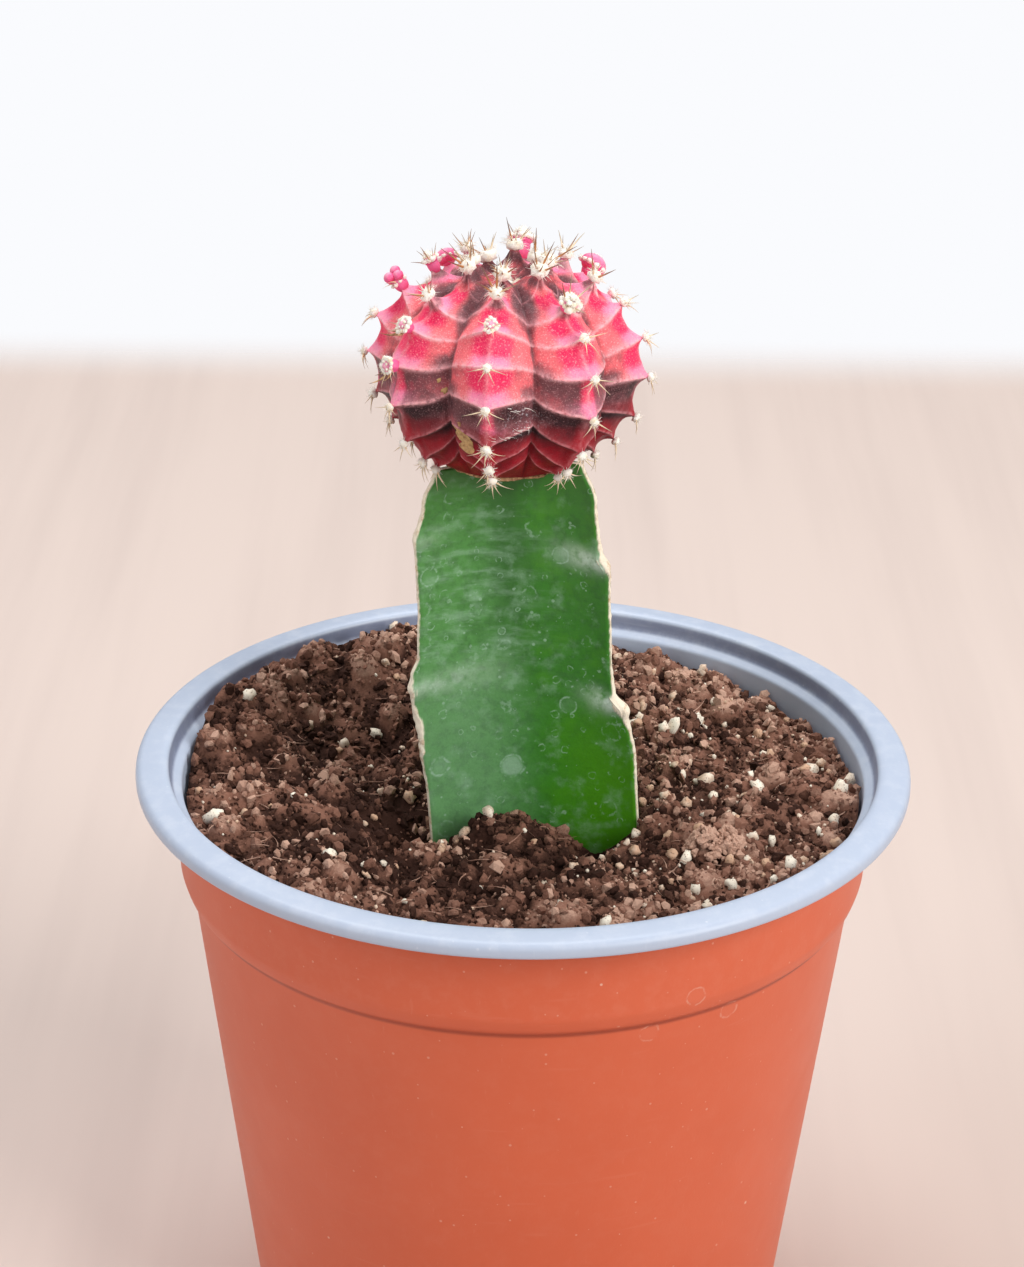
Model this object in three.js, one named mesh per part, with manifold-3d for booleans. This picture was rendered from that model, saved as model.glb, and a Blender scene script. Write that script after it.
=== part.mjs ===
// Potted moon cactus: a red ribbed scion grafted on a green three-winged rootstock, in a plastic pot of potting mix.
// Millimetres, +Z up. The origin is the middle of the pot's foot, on the surface that it stands on. -Y is the front.
// Angles round the plant are measured from the front, positive towards +X.
import * as THREE from "three";
import { mergeVertices } from "three/addons/utils/BufferGeometryUtils.js";
import Module from "manifold-3d";

const wasm = await Module();
wasm.setup();

// Driving dimensions
const POT_HEIGHT = 103;
const RIM_RADIUS = 60;
const RIM_INNER_RADIUS = 54.8;
const LIP_DEPTH = 2.6;
const SHEET = 0.9;
const COLLAR_RADIUS = 53.8;
const COLLAR_DEPTH = 20;
const BODY_RADIUS = 51.8;
const FOOT_RADIUS = 41.8;
const FOOT_WIDTH = 3;
const FLOOR_RECESS = 2.6;
const DRAIN_HOLES = 8;
const DRAIN_CIRCLE = 30;
const DRAIN_RADIUS = 3;
const ROUND_SIDES = 56;
const CLEARANCE = 0.35;

const SOIL_LEVEL = POT_HEIGHT - 7;
const SOIL_EDGE_RADIUS = 52.3;
const SOIL_RINGS = 11;
const CRUMB_RISE = 0.6;
const GRAIN_COUNT = 26;
const GRAIN_RADIUS = 0.9;
const GRAIN_SPREAD = 1.3;
const GRAIN_RING = { from: 20, to: 49 };
const GRAIN_SEED = 7;

const GRAFT_HEIGHT = POT_HEIGHT + 49;
const STOCK_LEAN = 0.0754;
const STOCK_FOOT_X = 1.6;
const STOCK_FOOT_HEIGHT = POT_HEIGHT - 8;
const STOCK_BASE_HEIGHT = POT_HEIGHT - 40;
const STOCK_STRAIGHT_TO = POT_HEIGHT - 3;
const STOCK_FOOT_REACH = 18.9;
const STOCK_TOP_REACH = 14.2;
const WING_EDGE = 1.3;
const FACE_HOLLOW = 3;
const FACE_SHARES = [0, 0.06, 0.18, 0.34, 0.5, 0.66, 0.82, 0.94, 1];
const STOCK_ROW = 2.4;
const NODE_HALF_HEIGHT = 1.3;
const NODE_SWELL = 0.5;
const EDGE_BLEND = 0.22;
const HOLE_TOP = POT_HEIGHT + 6;
const ROOT_COUNT = 5;
const ROOT_SIDES = 5;
const ROOT_STEPS = 4;
const ROOT_RADIUS = 1.1;
const ROOT_START = 3;
const ROOT_REACH = 17;
const ROOT_DROP = 18;

const SCION_RADIUS = 20.5;
const SCION_X = -3.2;
const EQUATOR_HEIGHT = POT_HEIGHT + 64;
const CROWN_RISE = 15;
const BELLY_DROP = 16.5;
const SCION_BASE_RADIUS = 9.8;
const FOOT_LATITUDE = -62;
const CROWN_LATITUDE = 100;
const CROWN_HOLLOW = 2.2;
const LOW_SQUEEZE = { from: -46, over: 13 };
const HIGH_SQUEEZE = { from: 72, over: 16 };
const RIB_COUNT = 8;
const FRONT_RIB_ANGLE = -8;
const RIB_STEPS = 6;
const FURROW_DEPTH = 0.19;
const CROWN_FURROW_DEPTH = 0.17;
const CROWN_FURROW_SINK = 1.6;
const RIDGE_SLANT = 0.3;
const RIDGE_LIFT = 3;
const FURROW_RELIEF = 0.3;
const CREST_RELIEF = 0.9;
const ROWS_PER_AREOLE = 3;
const GRAFT_GAP = 0.3;
const WOOL_RADIUS = 1;
const CROWN_WOOL_RADIUS = 1.25;
const WOOL_SEAT = 0.25;
const SPINE_ROOT_RADIUS = 0.26;
const SPINE_LENGTH = 3;
const CROWN_SPINE_LENGTH = 5.2;
const SPINE_FANS = [-62, 0, 62];
const CROWN_SPINE_FANS = [-130, -10, 110];
const CROWN_LATITUDES_FROM = 50;
const SPINE_SEED = 21;
const OFFSET_GLOBES = 3;

// Height of each wing's edge above the rim plane, and its distance from the stem's own axis
const WINGS = [
  {
    angle: 60,
    edge: [
      [-3, 18.8], [4, 18.9], [11, 17.9], [13.5, 15.9], [18, 15.6],
      [27, 15.9], [33.5, 16.2], [36.5, 14.9], [44, 14.5], [49, 12.6],
    ],
    nodes: [12, 35],
  },
  {
    angle: 180,
    edge: [
      [-3, 18.4], [6, 18.6], [18, 18.8], [21, 16.6], [30, 16.4],
      [38, 16.6], [41, 15.2], [46, 14.6], [49, 13],
    ],
    nodes: [19.5, 39.5],
  },
  {
    angle: 300,
    edge: [
      [-3, 18.4], [5, 19], [13, 19.7], [17, 19.4], [20, 18],
      [28, 17.3], [36, 17.1], [39, 16.7], [44, 15.2], [49, 12.8],
    ],
    nodes: [15, 38.5],
  },
];

// The scion's areoles from the crown down, and how far each rib's own set is shifted, in degrees of latitude
const AREOLE_LATITUDES = [77, 61, 43, 22, 0, -22, -38, -53];
const RIB_SHIFTS = [0, -10, -4, 3, -6, 4, 1, -9];

// Offsets that bud from the areoles: the rib, the areole's number from the crown, the size and how far it stands out
const OFFSETS = [
  { rib: 0, areole: 2, radius: 1.15, stand: 0.3 },
  { rib: 1, areole: 1, radius: 1.5, stand: 0.4 },
  { rib: 3, areole: 2, radius: 1.6, stand: 1.1 },
  { rib: 4, areole: 1, radius: 1.6, stand: 1.6 },
  { rib: 5, areole: 2, radius: 1.6, stand: 0.6 },
  { rib: 6, areole: 1, radius: 1.3, stand: 0.8 },
  { rib: 6, areole: 2, radius: 1.4, stand: 1.2 },
  { rib: 7, areole: 2, radius: 1.2, stand: 0.4 },
  { rib: 7, areole: 3, radius: 1.3, stand: 0.5 },
];

// Broad heaps and hollows of the potting mix: place, height and spread
const SOIL_FORMS = [
  { x: -46, y: 14, rise: 5.5, spread: 17 },
  { x: -30, y: 18, rise: -5, spread: 11 },
  { x: -5, y: -16.5, rise: 6.5, spread: 6.5 },
  { x: -16, y: -10, rise: -4.5, spread: 6 },
  { x: 9, y: -13, rise: -5.5, spread: 6.5 },
  { x: 0, y: 0, rise: -4, spread: 14 },
  { x: -30, y: -27, rise: 2.5, spread: 7 },
  { x: 30, y: -14, rise: 2.5, spread: 6 },
  { x: 44, y: -4, rise: 2, spread: 10 },
  { x: 18, y: 44, rise: 2, spread: 12 },
];

const radians = THREE.MathUtils.degToRad;

// A smooth value from a table of [key, value] rows
function interpolate(table, at) {
  const last = table.length - 1;
  if (at <= table[0][0]) return table[0][1];
  if (at >= table[last][0]) return table[last][1];
  const upper = table.findIndex(([key]) => key > at);
  const [low, lowValue] = table[upper - 1];
  const [high, highValue] = table[upper];
  const share = (at - low) / (high - low);
  const eased = share * share * (3 - 2 * share);
  return lowValue + (highValue - lowValue) * eased;
}

function seededRandom(seed) {
  let state = seed;
  return () => {
    state = (state + 0x6d2b79f5) | 0;
    let mixed = Math.imul(state ^ (state >>> 15), 1 | state);
    mixed = (mixed + Math.imul(mixed ^ (mixed >>> 7), 61 | mixed)) ^ mixed;
    return ((mixed ^ (mixed >>> 14)) >>> 0) / 4294967296;
  };
}

function polar(radius, angle, height) {
  return new THREE.Vector3(radius * Math.sin(angle), -radius * Math.cos(angle), height);
}

// A closed skin over rings of points, listed upwards, each running anticlockwise seen from above
function skin(rings) {
  const count = rings[0].length;
  const points = rings.flat();
  const middle = (ring) => ring.reduce((sum, p) => sum.add(p), new THREE.Vector3()).divideScalar(count);
  points.push(middle(rings[0]), middle(rings[rings.length - 1]));
  const bottom = points.length - 2;
  const top = points.length - 1;
  const roof = (rings.length - 1) * count;
  const faces = [];
  for (let j = 0; j < count; j++) {
    const next = (j + 1) % count;
    faces.push(bottom, next, j);
    faces.push(top, roof + j, roof + next);
    for (let i = 0; i < rings.length - 1; i++) {
      const low = i * count;
      const high = low + count;
      faces.push(low + j, low + next, high + next);
      faces.push(low + j, high + next, high + j);
    }
  }
  const geometry = new THREE.BufferGeometry().setFromPoints(points);
  geometry.setIndex(faces);
  return geometry;
}

// A closed mesh as a solid that can be joined and cut
function toSolid(geometry) {
  const bare = geometry.clone();
  bare.deleteAttribute("normal");
  bare.deleteAttribute("uv");
  const merged = mergeVertices(bare, 1e-4);
  return new wasm.Manifold(
    new wasm.Mesh({
      numProp: 3,
      vertProperties: new Float32Array(merged.attributes.position.array),
      triVerts: new Uint32Array(merged.index.array),
    }),
  );
}

function toGeometry(solid) {
  const mesh = solid.getMesh();
  const geometry = new THREE.BufferGeometry();
  geometry.setAttribute("position", new THREE.BufferAttribute(mesh.vertProperties, 3));
  geometry.setIndex(new THREE.BufferAttribute(mesh.triVerts, 1));
  return geometry;
}

function fuse(body, pieces) {
  return pieces.reduce((sum, piece) => sum.add(toSolid(piece)), body);
}

function named(name, geometry, color, roughness) {
  geometry.computeVertexNormals();
  const mesh = new THREE.Mesh(geometry, new THREE.MeshStandardMaterial({ color, roughness, metalness: 0 }));
  mesh.name = name;
  return mesh;
}

// Inside radius of the pot's tapered wall at a height above the foot
function innerWallRadius(height) {
  const share = height / (POT_HEIGHT - COLLAR_DEPTH);
  return FOOT_RADIUS + (BODY_RADIUS - FOOT_RADIUS) * share - SHEET;
}

// The pot is one sheet of even thickness: recessed floor, foot ring, tapered wall, collar and turned-down lip
function pot() {
  const top = POT_HEIGHT;
  const step = POT_HEIGHT - COLLAR_DEPTH;
  const floor = FLOOR_RECESS;
  const profile = [
    [0, floor],
    [FOOT_RADIUS - FOOT_WIDTH - 0.8, floor],
    [FOOT_RADIUS - FOOT_WIDTH, 0],
    [FOOT_RADIUS - 0.4, 0],
    [FOOT_RADIUS, 0.8],
    [BODY_RADIUS, step],
    [COLLAR_RADIUS - 0.8, step + 1.4],
    [COLLAR_RADIUS - 0.2, step + 3.4],
    [COLLAR_RADIUS, top - 4],
    [RIM_INNER_RADIUS + SHEET, top - 3.1],
    [RIM_INNER_RADIUS + SHEET, top - SHEET - 0.1],
    [RIM_RADIUS - SHEET - 0.5, top - SHEET - 0.3],
    [RIM_RADIUS - SHEET, top - LIP_DEPTH],
    [RIM_RADIUS, top - LIP_DEPTH],
    [RIM_RADIUS, top - 1.1],
    [RIM_RADIUS - 0.7, top - 0.35],
    [RIM_INNER_RADIUS + 1.2, top],
    [RIM_INNER_RADIUS + 0.3, top - 0.2],
    [RIM_INNER_RADIUS, top - 0.9],
    [RIM_INNER_RADIUS - 0.2, top - 2.7],
    [COLLAR_RADIUS - SHEET, top - 3.6],
    [COLLAR_RADIUS - SHEET - 0.2, step + 3],
    [COLLAR_RADIUS - SHEET - 0.8, step + 1.2],
    [BODY_RADIUS - SHEET, step - 0.2],
    [innerWallRadius(floor + SHEET), floor + SHEET],
    [0, floor + SHEET],
  ];
  const points = profile.map(([radius, height]) => new THREE.Vector2(radius, height));
  const lathe = new THREE.LatheGeometry(points, ROUND_SIDES).rotateX(Math.PI / 2);
  let solid = toSolid(lathe);
  for (let i = 0; i < DRAIN_HOLES; i++) {
    const place = polar(DRAIN_CIRCLE, radians((360 / DRAIN_HOLES) * (i + 0.5)), floor);
    const drill = new THREE.CylinderGeometry(DRAIN_RADIUS, DRAIN_RADIUS, 4 * SHEET, 12);
    drill.rotateX(Math.PI / 2).translate(place.x, place.y, place.z);
    solid = solid.subtract(toSolid(drill));
  }
  return toGeometry(solid);
}

// Height of the potting mix: its level, the named heaps and hollows, and small even crumbs
function soilHeight(x, y) {
  const forms = SOIL_FORMS.reduce((sum, form) => {
    const apart = Math.hypot(x - form.x, y - form.y) / form.spread;
    return sum + form.rise * Math.exp(-apart * apart);
  }, 0);
  const crumbs = Math.sin(0.42 * x + 1.3) * Math.cos(0.37 * y) + 0.6 * Math.sin(0.5 * y - 0.36 * x);
  return SOIL_LEVEL + forms + CRUMB_RISE * crumbs;
}

// Grains of perlite and peat, half sunk in the surface
function soilGrains() {
  const random = seededRandom(GRAIN_SEED);
  const grains = [];
  while (grains.length < GRAIN_COUNT) {
    const radius = GRAIN_RADIUS + GRAIN_SPREAD * random() ** 2;
    const away = THREE.MathUtils.lerp(GRAIN_RING.from, GRAIN_RING.to, Math.sqrt(random()));
    const place = polar(away, 2 * Math.PI * random(), 0);
    place.z = soilHeight(place.x, place.y);
    const grain = new THREE.IcosahedronGeometry(radius, 0);
    grain.scale(1, 0.8 + 0.3 * random(), 0.75);
    grain.rotateZ(2 * Math.PI * random());
    grain.translate(place.x, place.y, place.z);
    grains.push(grain);
  }
  return grains;
}

// Both corners of each wing's edge, the wing standing out from the stem's axis by the reach given for it
function wingCorners(reachOf, halfOf) {
  return WINGS.map((wing) => {
    const out = polar(1, radians(wing.angle), 0);
    const along = polar(1, radians(wing.angle + 90), 0);
    const tip = out.multiplyScalar(reachOf(wing));
    return [tip.clone().addScaledVector(along, -halfOf(wing)), tip.clone().addScaledVector(along, halfOf(wing))];
  });
}

// A ring of the rootstock's three-winged section as it is at a height, grown all round by a margin and drawn at a
// level of its own where one is given. The wings' edges wave and swell at their nodes, and the hollow faces between
// them run straight.
function stockRing(height, margin = 0, level = height) {
  const axisX = STOCK_FOOT_X - STOCK_LEAN * (height - STOCK_FOOT_HEIGHT);
  const above = Math.max(height, STOCK_STRAIGHT_TO) - POT_HEIGHT;
  const rising = above / (GRAFT_HEIGHT - POT_HEIGHT);
  const mean = THREE.MathUtils.lerp(STOCK_FOOT_REACH, STOCK_TOP_REACH, rising) + margin;
  const nearness = (node) => Math.exp(-(((above - node) / NODE_HALF_HEIGHT) ** 2));
  const swelling = (wing) => NODE_SWELL * wing.nodes.reduce((sum, node) => sum + nearness(node), 0);
  const waved = wingCorners(
    (wing) => interpolate(wing.edge, above) + swelling(wing) + margin,
    (wing) => (WING_EDGE * (1 + swelling(wing))) / 2 + 1.2 * margin,
  );
  const straight = wingCorners(() => mean, () => WING_EDGE / 2 + 1.2 * margin);
  const ring = [];
  WINGS.forEach(({ angle }, wing) => {
    const next = (wing + 1) % WINGS.length;
    const inward = polar(-1, radians(angle + 60), 0);
    for (const share of FACE_SHARES) {
      const hollow = FACE_HOLLOW * (1 - Math.abs(2 * share - 1) ** 2.4);
      const point = straight[wing][1].clone().lerp(straight[next][0], share).addScaledVector(inward, hollow);
      const [corner, from] = share < 0.5 ? [waved[wing][1], straight[wing][1]] : [waved[next][0], straight[next][0]];
      const hold = Math.max(0, 1 - Math.min(share, 1 - share) / EDGE_BLEND) ** 2;
      point.addScaledVector(corner.clone().sub(from), hold);
      ring.push(new THREE.Vector3(point.x + axisX, point.y, level));
    }
  });
  return ring;
}

// A tapered root from the stem's cut base, as a chain of rings along a drooping curve, grown by a margin
function root(index, margin) {
  const heading = radians((360 / ROOT_COUNT) * index + 20);
  const footX = STOCK_FOOT_X - STOCK_LEAN * (STOCK_BASE_HEIGHT - STOCK_FOOT_HEIGHT);
  const rings = [];
  for (let i = ROOT_STEPS; i >= 0; i--) {
    const share = i / ROOT_STEPS;
    const out = THREE.MathUtils.lerp(ROOT_START, ROOT_REACH, share) + 0.8 * Math.sin(5 * share + index);
    const drop = ROOT_DROP * share ** 1.4 - (i === 0 ? ROOT_START : 0) + (i === ROOT_STEPS ? margin : 0);
    const middle = polar(out, heading, STOCK_BASE_HEIGHT - drop).add(new THREE.Vector3(footX, 0, 0));
    const width = ROOT_RADIUS * (1 - 0.6 * share) + margin;
    const ring = [];
    for (let j = ROOT_SIDES; j > 0; j--) {
      const turn = (2 * Math.PI * j) / ROOT_SIDES;
      const side = polar(width * Math.sin(turn), heading, 0);
      ring.push(middle.clone().add(side).add(polar(width * Math.cos(turn), heading + Math.PI / 2, 0)));
    }
    rings.push(ring);
  }
  return skin(rings);
}

function roots(margin = 0) {
  return Array.from({ length: ROOT_COUNT }, (_, index) => root(index, margin));
}

function rootstock() {
  const rings = [stockRing(STOCK_BASE_HEIGHT)];
  for (let height = STOCK_STRAIGHT_TO; height < GRAFT_HEIGHT - 1; height += STOCK_ROW) rings.push(stockRing(height));
  rings.push(stockRing(GRAFT_HEIGHT));
  return toGeometry(fuse(toSolid(skin(rings)), roots()));
}

// The plain hole that the stem and its roots stand in
function plantingHole() {
  const rings = [
    stockRing(STOCK_BASE_HEIGHT, CLEARANCE, STOCK_BASE_HEIGHT - CLEARANCE),
    stockRing(STOCK_STRAIGHT_TO, CLEARANCE),
    stockRing(STOCK_STRAIGHT_TO, CLEARANCE, HOLE_TOP),
  ];
  return fuse(toSolid(skin(rings)), roots(CLEARANCE));
}

// A level ring of points round the pot's axis, each at the height that is worked out for it
function roundRing(radius, heightAt) {
  const ring = [];
  for (let i = 0; i < ROUND_SIDES; i++) {
    const point = polar(radius, (2 * Math.PI * i) / ROUND_SIDES, 0);
    point.z = heightAt(point);
    ring.push(point);
  }
  return ring;
}

// The potting mix fills the pot up to its uneven surface, a clearance away from the wall
function soil() {
  const floor = FLOOR_RECESS + SHEET + CLEARANCE;
  const step = POT_HEIGHT - COLLAR_DEPTH;
  const rings = [
    roundRing(innerWallRadius(floor) - CLEARANCE, () => floor),
    roundRing(innerWallRadius(step) - CLEARANCE, () => step - 1),
    roundRing(COLLAR_RADIUS - SHEET - 1.2, () => step + 2.6),
  ];
  for (let i = 0; i < SOIL_RINGS; i++) {
    rings.push(roundRing(SOIL_EDGE_RADIUS * (1 - i / SOIL_RINGS), ({ x, y }) => soilHeight(x, y)));
  }
  return toGeometry(fuse(toSolid(skin(rings)), soilGrains()).subtract(plantingHole()));
}

// Where a latitude falls between two areoles of a rib, from 0 at an areole to 1 at the next one down
function betweenAreoles(latitude) {
  const last = AREOLE_LATITUDES.length - 1;
  const below = AREOLE_LATITUDES.findIndex((areole) => areole <= latitude);
  if (below === 0) return 0;
  const upper = below < 0 ? AREOLE_LATITUDES[last] : AREOLE_LATITUDES[below - 1];
  const lower = below < 0 ? upper - 16 : AREOLE_LATITUDES[below];
  return Math.min((upper - latitude) / (upper - lower), 1);
}

// The true latitude of a point on a rib. The cross ridges slant down from the crest to the furrows near the crown and
// up near the base, each rib's set is shifted from its neighbours', and both ends are squeezed in.
function trueLatitude(rib, across, latitude) {
  const aside = Math.abs(across);
  const beside = (rib + (across < 0 ? RIB_COUNT - 1 : 1)) % RIB_COUNT;
  const shared = (RIB_SHIFTS[rib] + RIB_SHIFTS[beside]) / 2;
  const shifted = latitude + THREE.MathUtils.lerp(RIB_SHIFTS[rib], shared, aside ** 4);
  const slanted = shifted * (1 - RIDGE_SLANT * aside) + RIDGE_LIFT * aside;
  const { from, over } = slanted < 0 ? LOW_SQUEEZE : HIGH_SQUEEZE;
  const past = Math.abs(slanted) - Math.abs(from);
  return past > 0 ? from + Math.sign(from) * over * (1 - Math.exp(-past / over)) : slanted;
}

// A point of the scion's ribbed and cross-ridged skin. Across is -1 and 1 in a rib's furrows and 0 on its crest, and
// the latitude counts along the rib's own areoles.
function scionPoint(rib, across, latitude) {
  const aside = Math.abs(across);
  const angle = radians(FRONT_RIB_ANGLE + (360 / RIB_COUNT) * (rib + across / 2));
  const real = trueLatitude(rib, across, latitude);
  const tilt = radians(real);
  const crown = THREE.MathUtils.smoothstep(real, 20, 80);
  const furrow = 1 - (FURROW_DEPTH + CROWN_FURROW_DEPTH * crown) * aside ** 1.25;
  const cupped = (FURROW_RELIEF + CREST_RELIEF * (1 - aside) ** 1.2) * (1 + 0.5 * crown);
  const relief = -cupped * Math.sin(Math.PI * betweenAreoles(latitude)) ** 0.8;
  const radius = SCION_RADIUS * Math.cos(tilt) ** 0.88 * furrow + relief * Math.cos(tilt);
  const rise = (real > 0 ? CROWN_RISE : BELLY_DROP) * Math.sin(tilt) + relief * Math.sin(tilt);
  const sink = CROWN_HOLLOW * THREE.MathUtils.smoothstep(real, 70, 90) + CROWN_FURROW_SINK * crown * aside;
  return polar(radius, angle, EQUATOR_HEIGHT + rise - sink).add(new THREE.Vector3(SCION_X, 0, 0));
}

// A ring of points round the scion, from the middle of the furrow before the front rib
function scionRing(pointOf) {
  const ring = [];
  for (let rib = 0; rib < RIB_COUNT; rib++) {
    for (let i = 0; i < RIB_STEPS; i++) ring.push(pointOf(rib, -1 + (2 * i) / RIB_STEPS));
  }
  return ring;
}

// The scion's skin stands on its round cut base and has rows of points at and between the areoles
function scionSkin() {
  const base = scionRing((rib, across) => {
    const angle = radians(FRONT_RIB_ANGLE + (360 / RIB_COUNT) * (rib + across / 2));
    return polar(SCION_BASE_RADIUS, angle, GRAFT_HEIGHT + GRAFT_GAP).add(new THREE.Vector3(SCION_X, 0, 0));
  });
  const stops = [CROWN_LATITUDE, ...AREOLE_LATITUDES, FOOT_LATITUDE];
  const rings = [base];
  for (let i = stops.length - 1; i > 0; i--) {
    for (let j = 0; j < ROWS_PER_AREOLE; j++) {
      const latitude = THREE.MathUtils.lerp(stops[i], stops[i - 1], j / ROWS_PER_AREOLE);
      rings.push(scionRing((rib, across) => scionPoint(rib, across, latitude)));
    }
  }
  return skin(rings);
}

// The areole's place and its outward, downward and sideways directions
function areoleFrame(rib, number) {
  const own = AREOLE_LATITUDES[number];
  const latitude = trueLatitude(rib, 0, own);
  const place = scionPoint(rib, 0, own);
  const up = scionPoint(rib, 0, own + 4).sub(scionPoint(rib, 0, own - 4)).normalize();
  const angle = radians(FRONT_RIB_ANGLE + (360 / RIB_COUNT) * rib);
  const side = polar(1, angle + Math.PI / 2, 0);
  const out = side.clone().cross(up).normalize();
  const down = latitude < 0 ? new THREE.Vector3(0, 0, -1) : up.negate();
  return { latitude, place, out, down, side };
}

// An areole's tuft of wool, half sunk in the rib
function wool({ place, out, latitude }) {
  const radius = latitude > CROWN_LATITUDES_FROM ? CROWN_WOOL_RADIUS : WOOL_RADIUS;
  const seat = place.clone().addScaledVector(out, WOOL_SEAT);
  return new THREE.OctahedronGeometry(radius, 0).translate(seat.x, seat.y, seat.z);
}

// A slim three-sided spine from an areole, its root sunk in the wool
function spine({ place, out, down, side, latitude }, fan, random) {
  const erect = THREE.MathUtils.smoothstep(latitude, 10, 65);
  const lean = radians(THREE.MathUtils.lerp(62, 30, erect) + 12 * (random() - 0.5));
  const turn = radians(fan + 20 * (random() - 0.5));
  const length = THREE.MathUtils.lerp(SPINE_LENGTH, CROWN_SPINE_LENGTH, erect) * (0.85 + 0.3 * random());
  const sweep = down.clone().multiplyScalar(Math.cos(turn)).addScaledVector(side, Math.sin(turn));
  const heading = out.clone().multiplyScalar(Math.cos(lean)).addScaledVector(sweep, Math.sin(lean)).normalize();
  const cone = new THREE.ConeGeometry(SPINE_ROOT_RADIUS, length, 3).translate(0, length / 2, 0);
  cone.applyQuaternion(new THREE.Quaternion().setFromUnitVectors(new THREE.Vector3(0, 1, 0), heading));
  const seat = place.clone().addScaledVector(out, WOOL_SEAT);
  return cone.translate(seat.x, seat.y, seat.z);
}

// A small offset: a globe with a ring of lesser ones round it, budding out of its areole
function offsetPlant({ place, out, down, side }, { radius, stand }) {
  const middle = place.clone().addScaledVector(out, stand);
  const globes = [new THREE.IcosahedronGeometry(radius, 0).translate(middle.x, middle.y, middle.z)];
  for (let i = 0; i < OFFSET_GLOBES; i++) {
    const turn = radians((360 / OFFSET_GLOBES) * i + 40);
    const seat = place.clone().addScaledVector(out, stand + 0.5 * radius);
    seat.addScaledVector(down, 0.75 * radius * Math.cos(turn)).addScaledVector(side, 0.75 * radius * Math.sin(turn));
    globes.push(new THREE.OctahedronGeometry(0.6 * radius, 0).translate(seat.x, seat.y, seat.z));
  }
  return globes;
}

// The scion is one body: its skin with the wool, spines and offsets grown from its areoles
function scion() {
  const random = seededRandom(SPINE_SEED);
  const pieces = [];
  for (let rib = 0; rib < RIB_COUNT; rib++) {
    for (let number = 0; number < AREOLE_LATITUDES.length; number++) {
      const frame = areoleFrame(rib, number);
      const fans = frame.latitude > CROWN_LATITUDES_FROM ? CROWN_SPINE_FANS : SPINE_FANS;
      pieces.push(wool(frame), ...fans.map((fan) => spine(frame, fan, random)));
    }
  }
  for (const offset of OFFSETS) pieces.push(...offsetPlant(areoleFrame(offset.rib, offset.areole), offset));
  return toGeometry(fuse(toSolid(scionSkin()), pieces));
}

const plant = new THREE.Group();
plant.add(named("pot", pot(), 0xc8603c, 0.45));
plant.add(named("soil", soil(), 0x3b261c, 0.95));
plant.add(named("rootstock", rootstock(), 0x2f7d32, 0.5));
plant.add(named("scion", scion(), 0xd9304f, 0.55));

export default plant;
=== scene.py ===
"""Potted moon cactus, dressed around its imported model.

A red ribbed head is grafted on a green three-winged stem, which stands in potting mix in a round plastic
pot. Every size here is in millimetres, in the model's own frame, and becomes metres when a piece is
finished. Angles round the plant are measured from the front, which is -Y, and are positive towards +X.
"""

from __future__ import annotations

import logging
import math
import random
from collections.abc import Callable, Mapping, Sequence
from dataclasses import dataclass, field
from enum import Enum
from typing import Any

import bmesh
import bpy
from mathutils import Euler, Matrix, Vector, noise


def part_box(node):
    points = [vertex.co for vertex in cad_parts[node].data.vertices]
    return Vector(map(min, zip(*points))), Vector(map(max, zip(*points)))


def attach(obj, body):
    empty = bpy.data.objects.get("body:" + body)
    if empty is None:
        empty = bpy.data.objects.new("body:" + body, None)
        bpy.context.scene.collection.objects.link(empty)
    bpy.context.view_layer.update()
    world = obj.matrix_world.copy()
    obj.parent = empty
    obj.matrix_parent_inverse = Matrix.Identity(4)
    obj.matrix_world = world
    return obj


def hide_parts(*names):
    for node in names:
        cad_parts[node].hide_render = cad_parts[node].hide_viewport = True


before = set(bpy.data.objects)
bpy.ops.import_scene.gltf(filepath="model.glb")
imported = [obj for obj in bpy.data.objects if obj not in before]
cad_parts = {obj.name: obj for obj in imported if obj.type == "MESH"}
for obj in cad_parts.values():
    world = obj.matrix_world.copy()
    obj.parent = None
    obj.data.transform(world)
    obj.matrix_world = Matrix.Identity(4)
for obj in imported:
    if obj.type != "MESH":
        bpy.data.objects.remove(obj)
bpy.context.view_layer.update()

LOG = logging.getLogger("moon_cactus")
MM = 0.001
Colour = tuple[float, float, float, float]
Marks = Mapping[str, float]
Profile = Sequence[tuple[float, float]]
Socket = bpy.types.NodeSocket
Inputs = Mapping[str | int, Any]


class Slot(Enum):
    """The record's material slots."""

    POT = "pot_plastic"
    MIX = "potting_mix"
    STEM = "stem_skin"
    HEAD = "head_skin"


def srgb(red: float, green: float, blue: float) -> Colour:
    """A colour in Blender's linear values.

    Args:
        red: Everyday red, from 0 to 255.
        green: Everyday green, from 0 to 255.
        blue: Everyday blue, from 0 to 255.

    Returns:
        The linear colour with full alpha.
    """
    shares = [value / 255 for value in (red, green, blue)]
    linear = [share / 12.92 if share <= 0.04045 else ((share + 0.055) / 1.055) ** 2.4 for share in shares]
    return (linear[0], linear[1], linear[2], 1.0)


def lerp(low: float, high: float, share: float) -> float:
    """The value that lies a share of the way from low to high."""
    return low + (high - low) * share


def smoothstep(value: float, low: float, high: float) -> float:
    """An eased share, 0 where the value is at low and 1 where it is at high."""
    share = min(max((value - low) / (high - low), 0.0), 1.0)
    return share * share * (3 - 2 * share)


def interpolate(table: Profile, at: float) -> float:
    """A smooth value from a table of key and value rows.

    Args:
        table: Rows in rising order of key.
        at: The key to look up.

    Returns:
        The eased value between the rows on both sides, or the nearest end's value.
    """
    if at <= table[0][0]:
        return table[0][1]
    for (low, low_value), (high, high_value) in zip(table, table[1:]):
        if at < high:
            return lerp(low_value, high_value, smoothstep(at, low, high))
    return table[-1][1]


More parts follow.
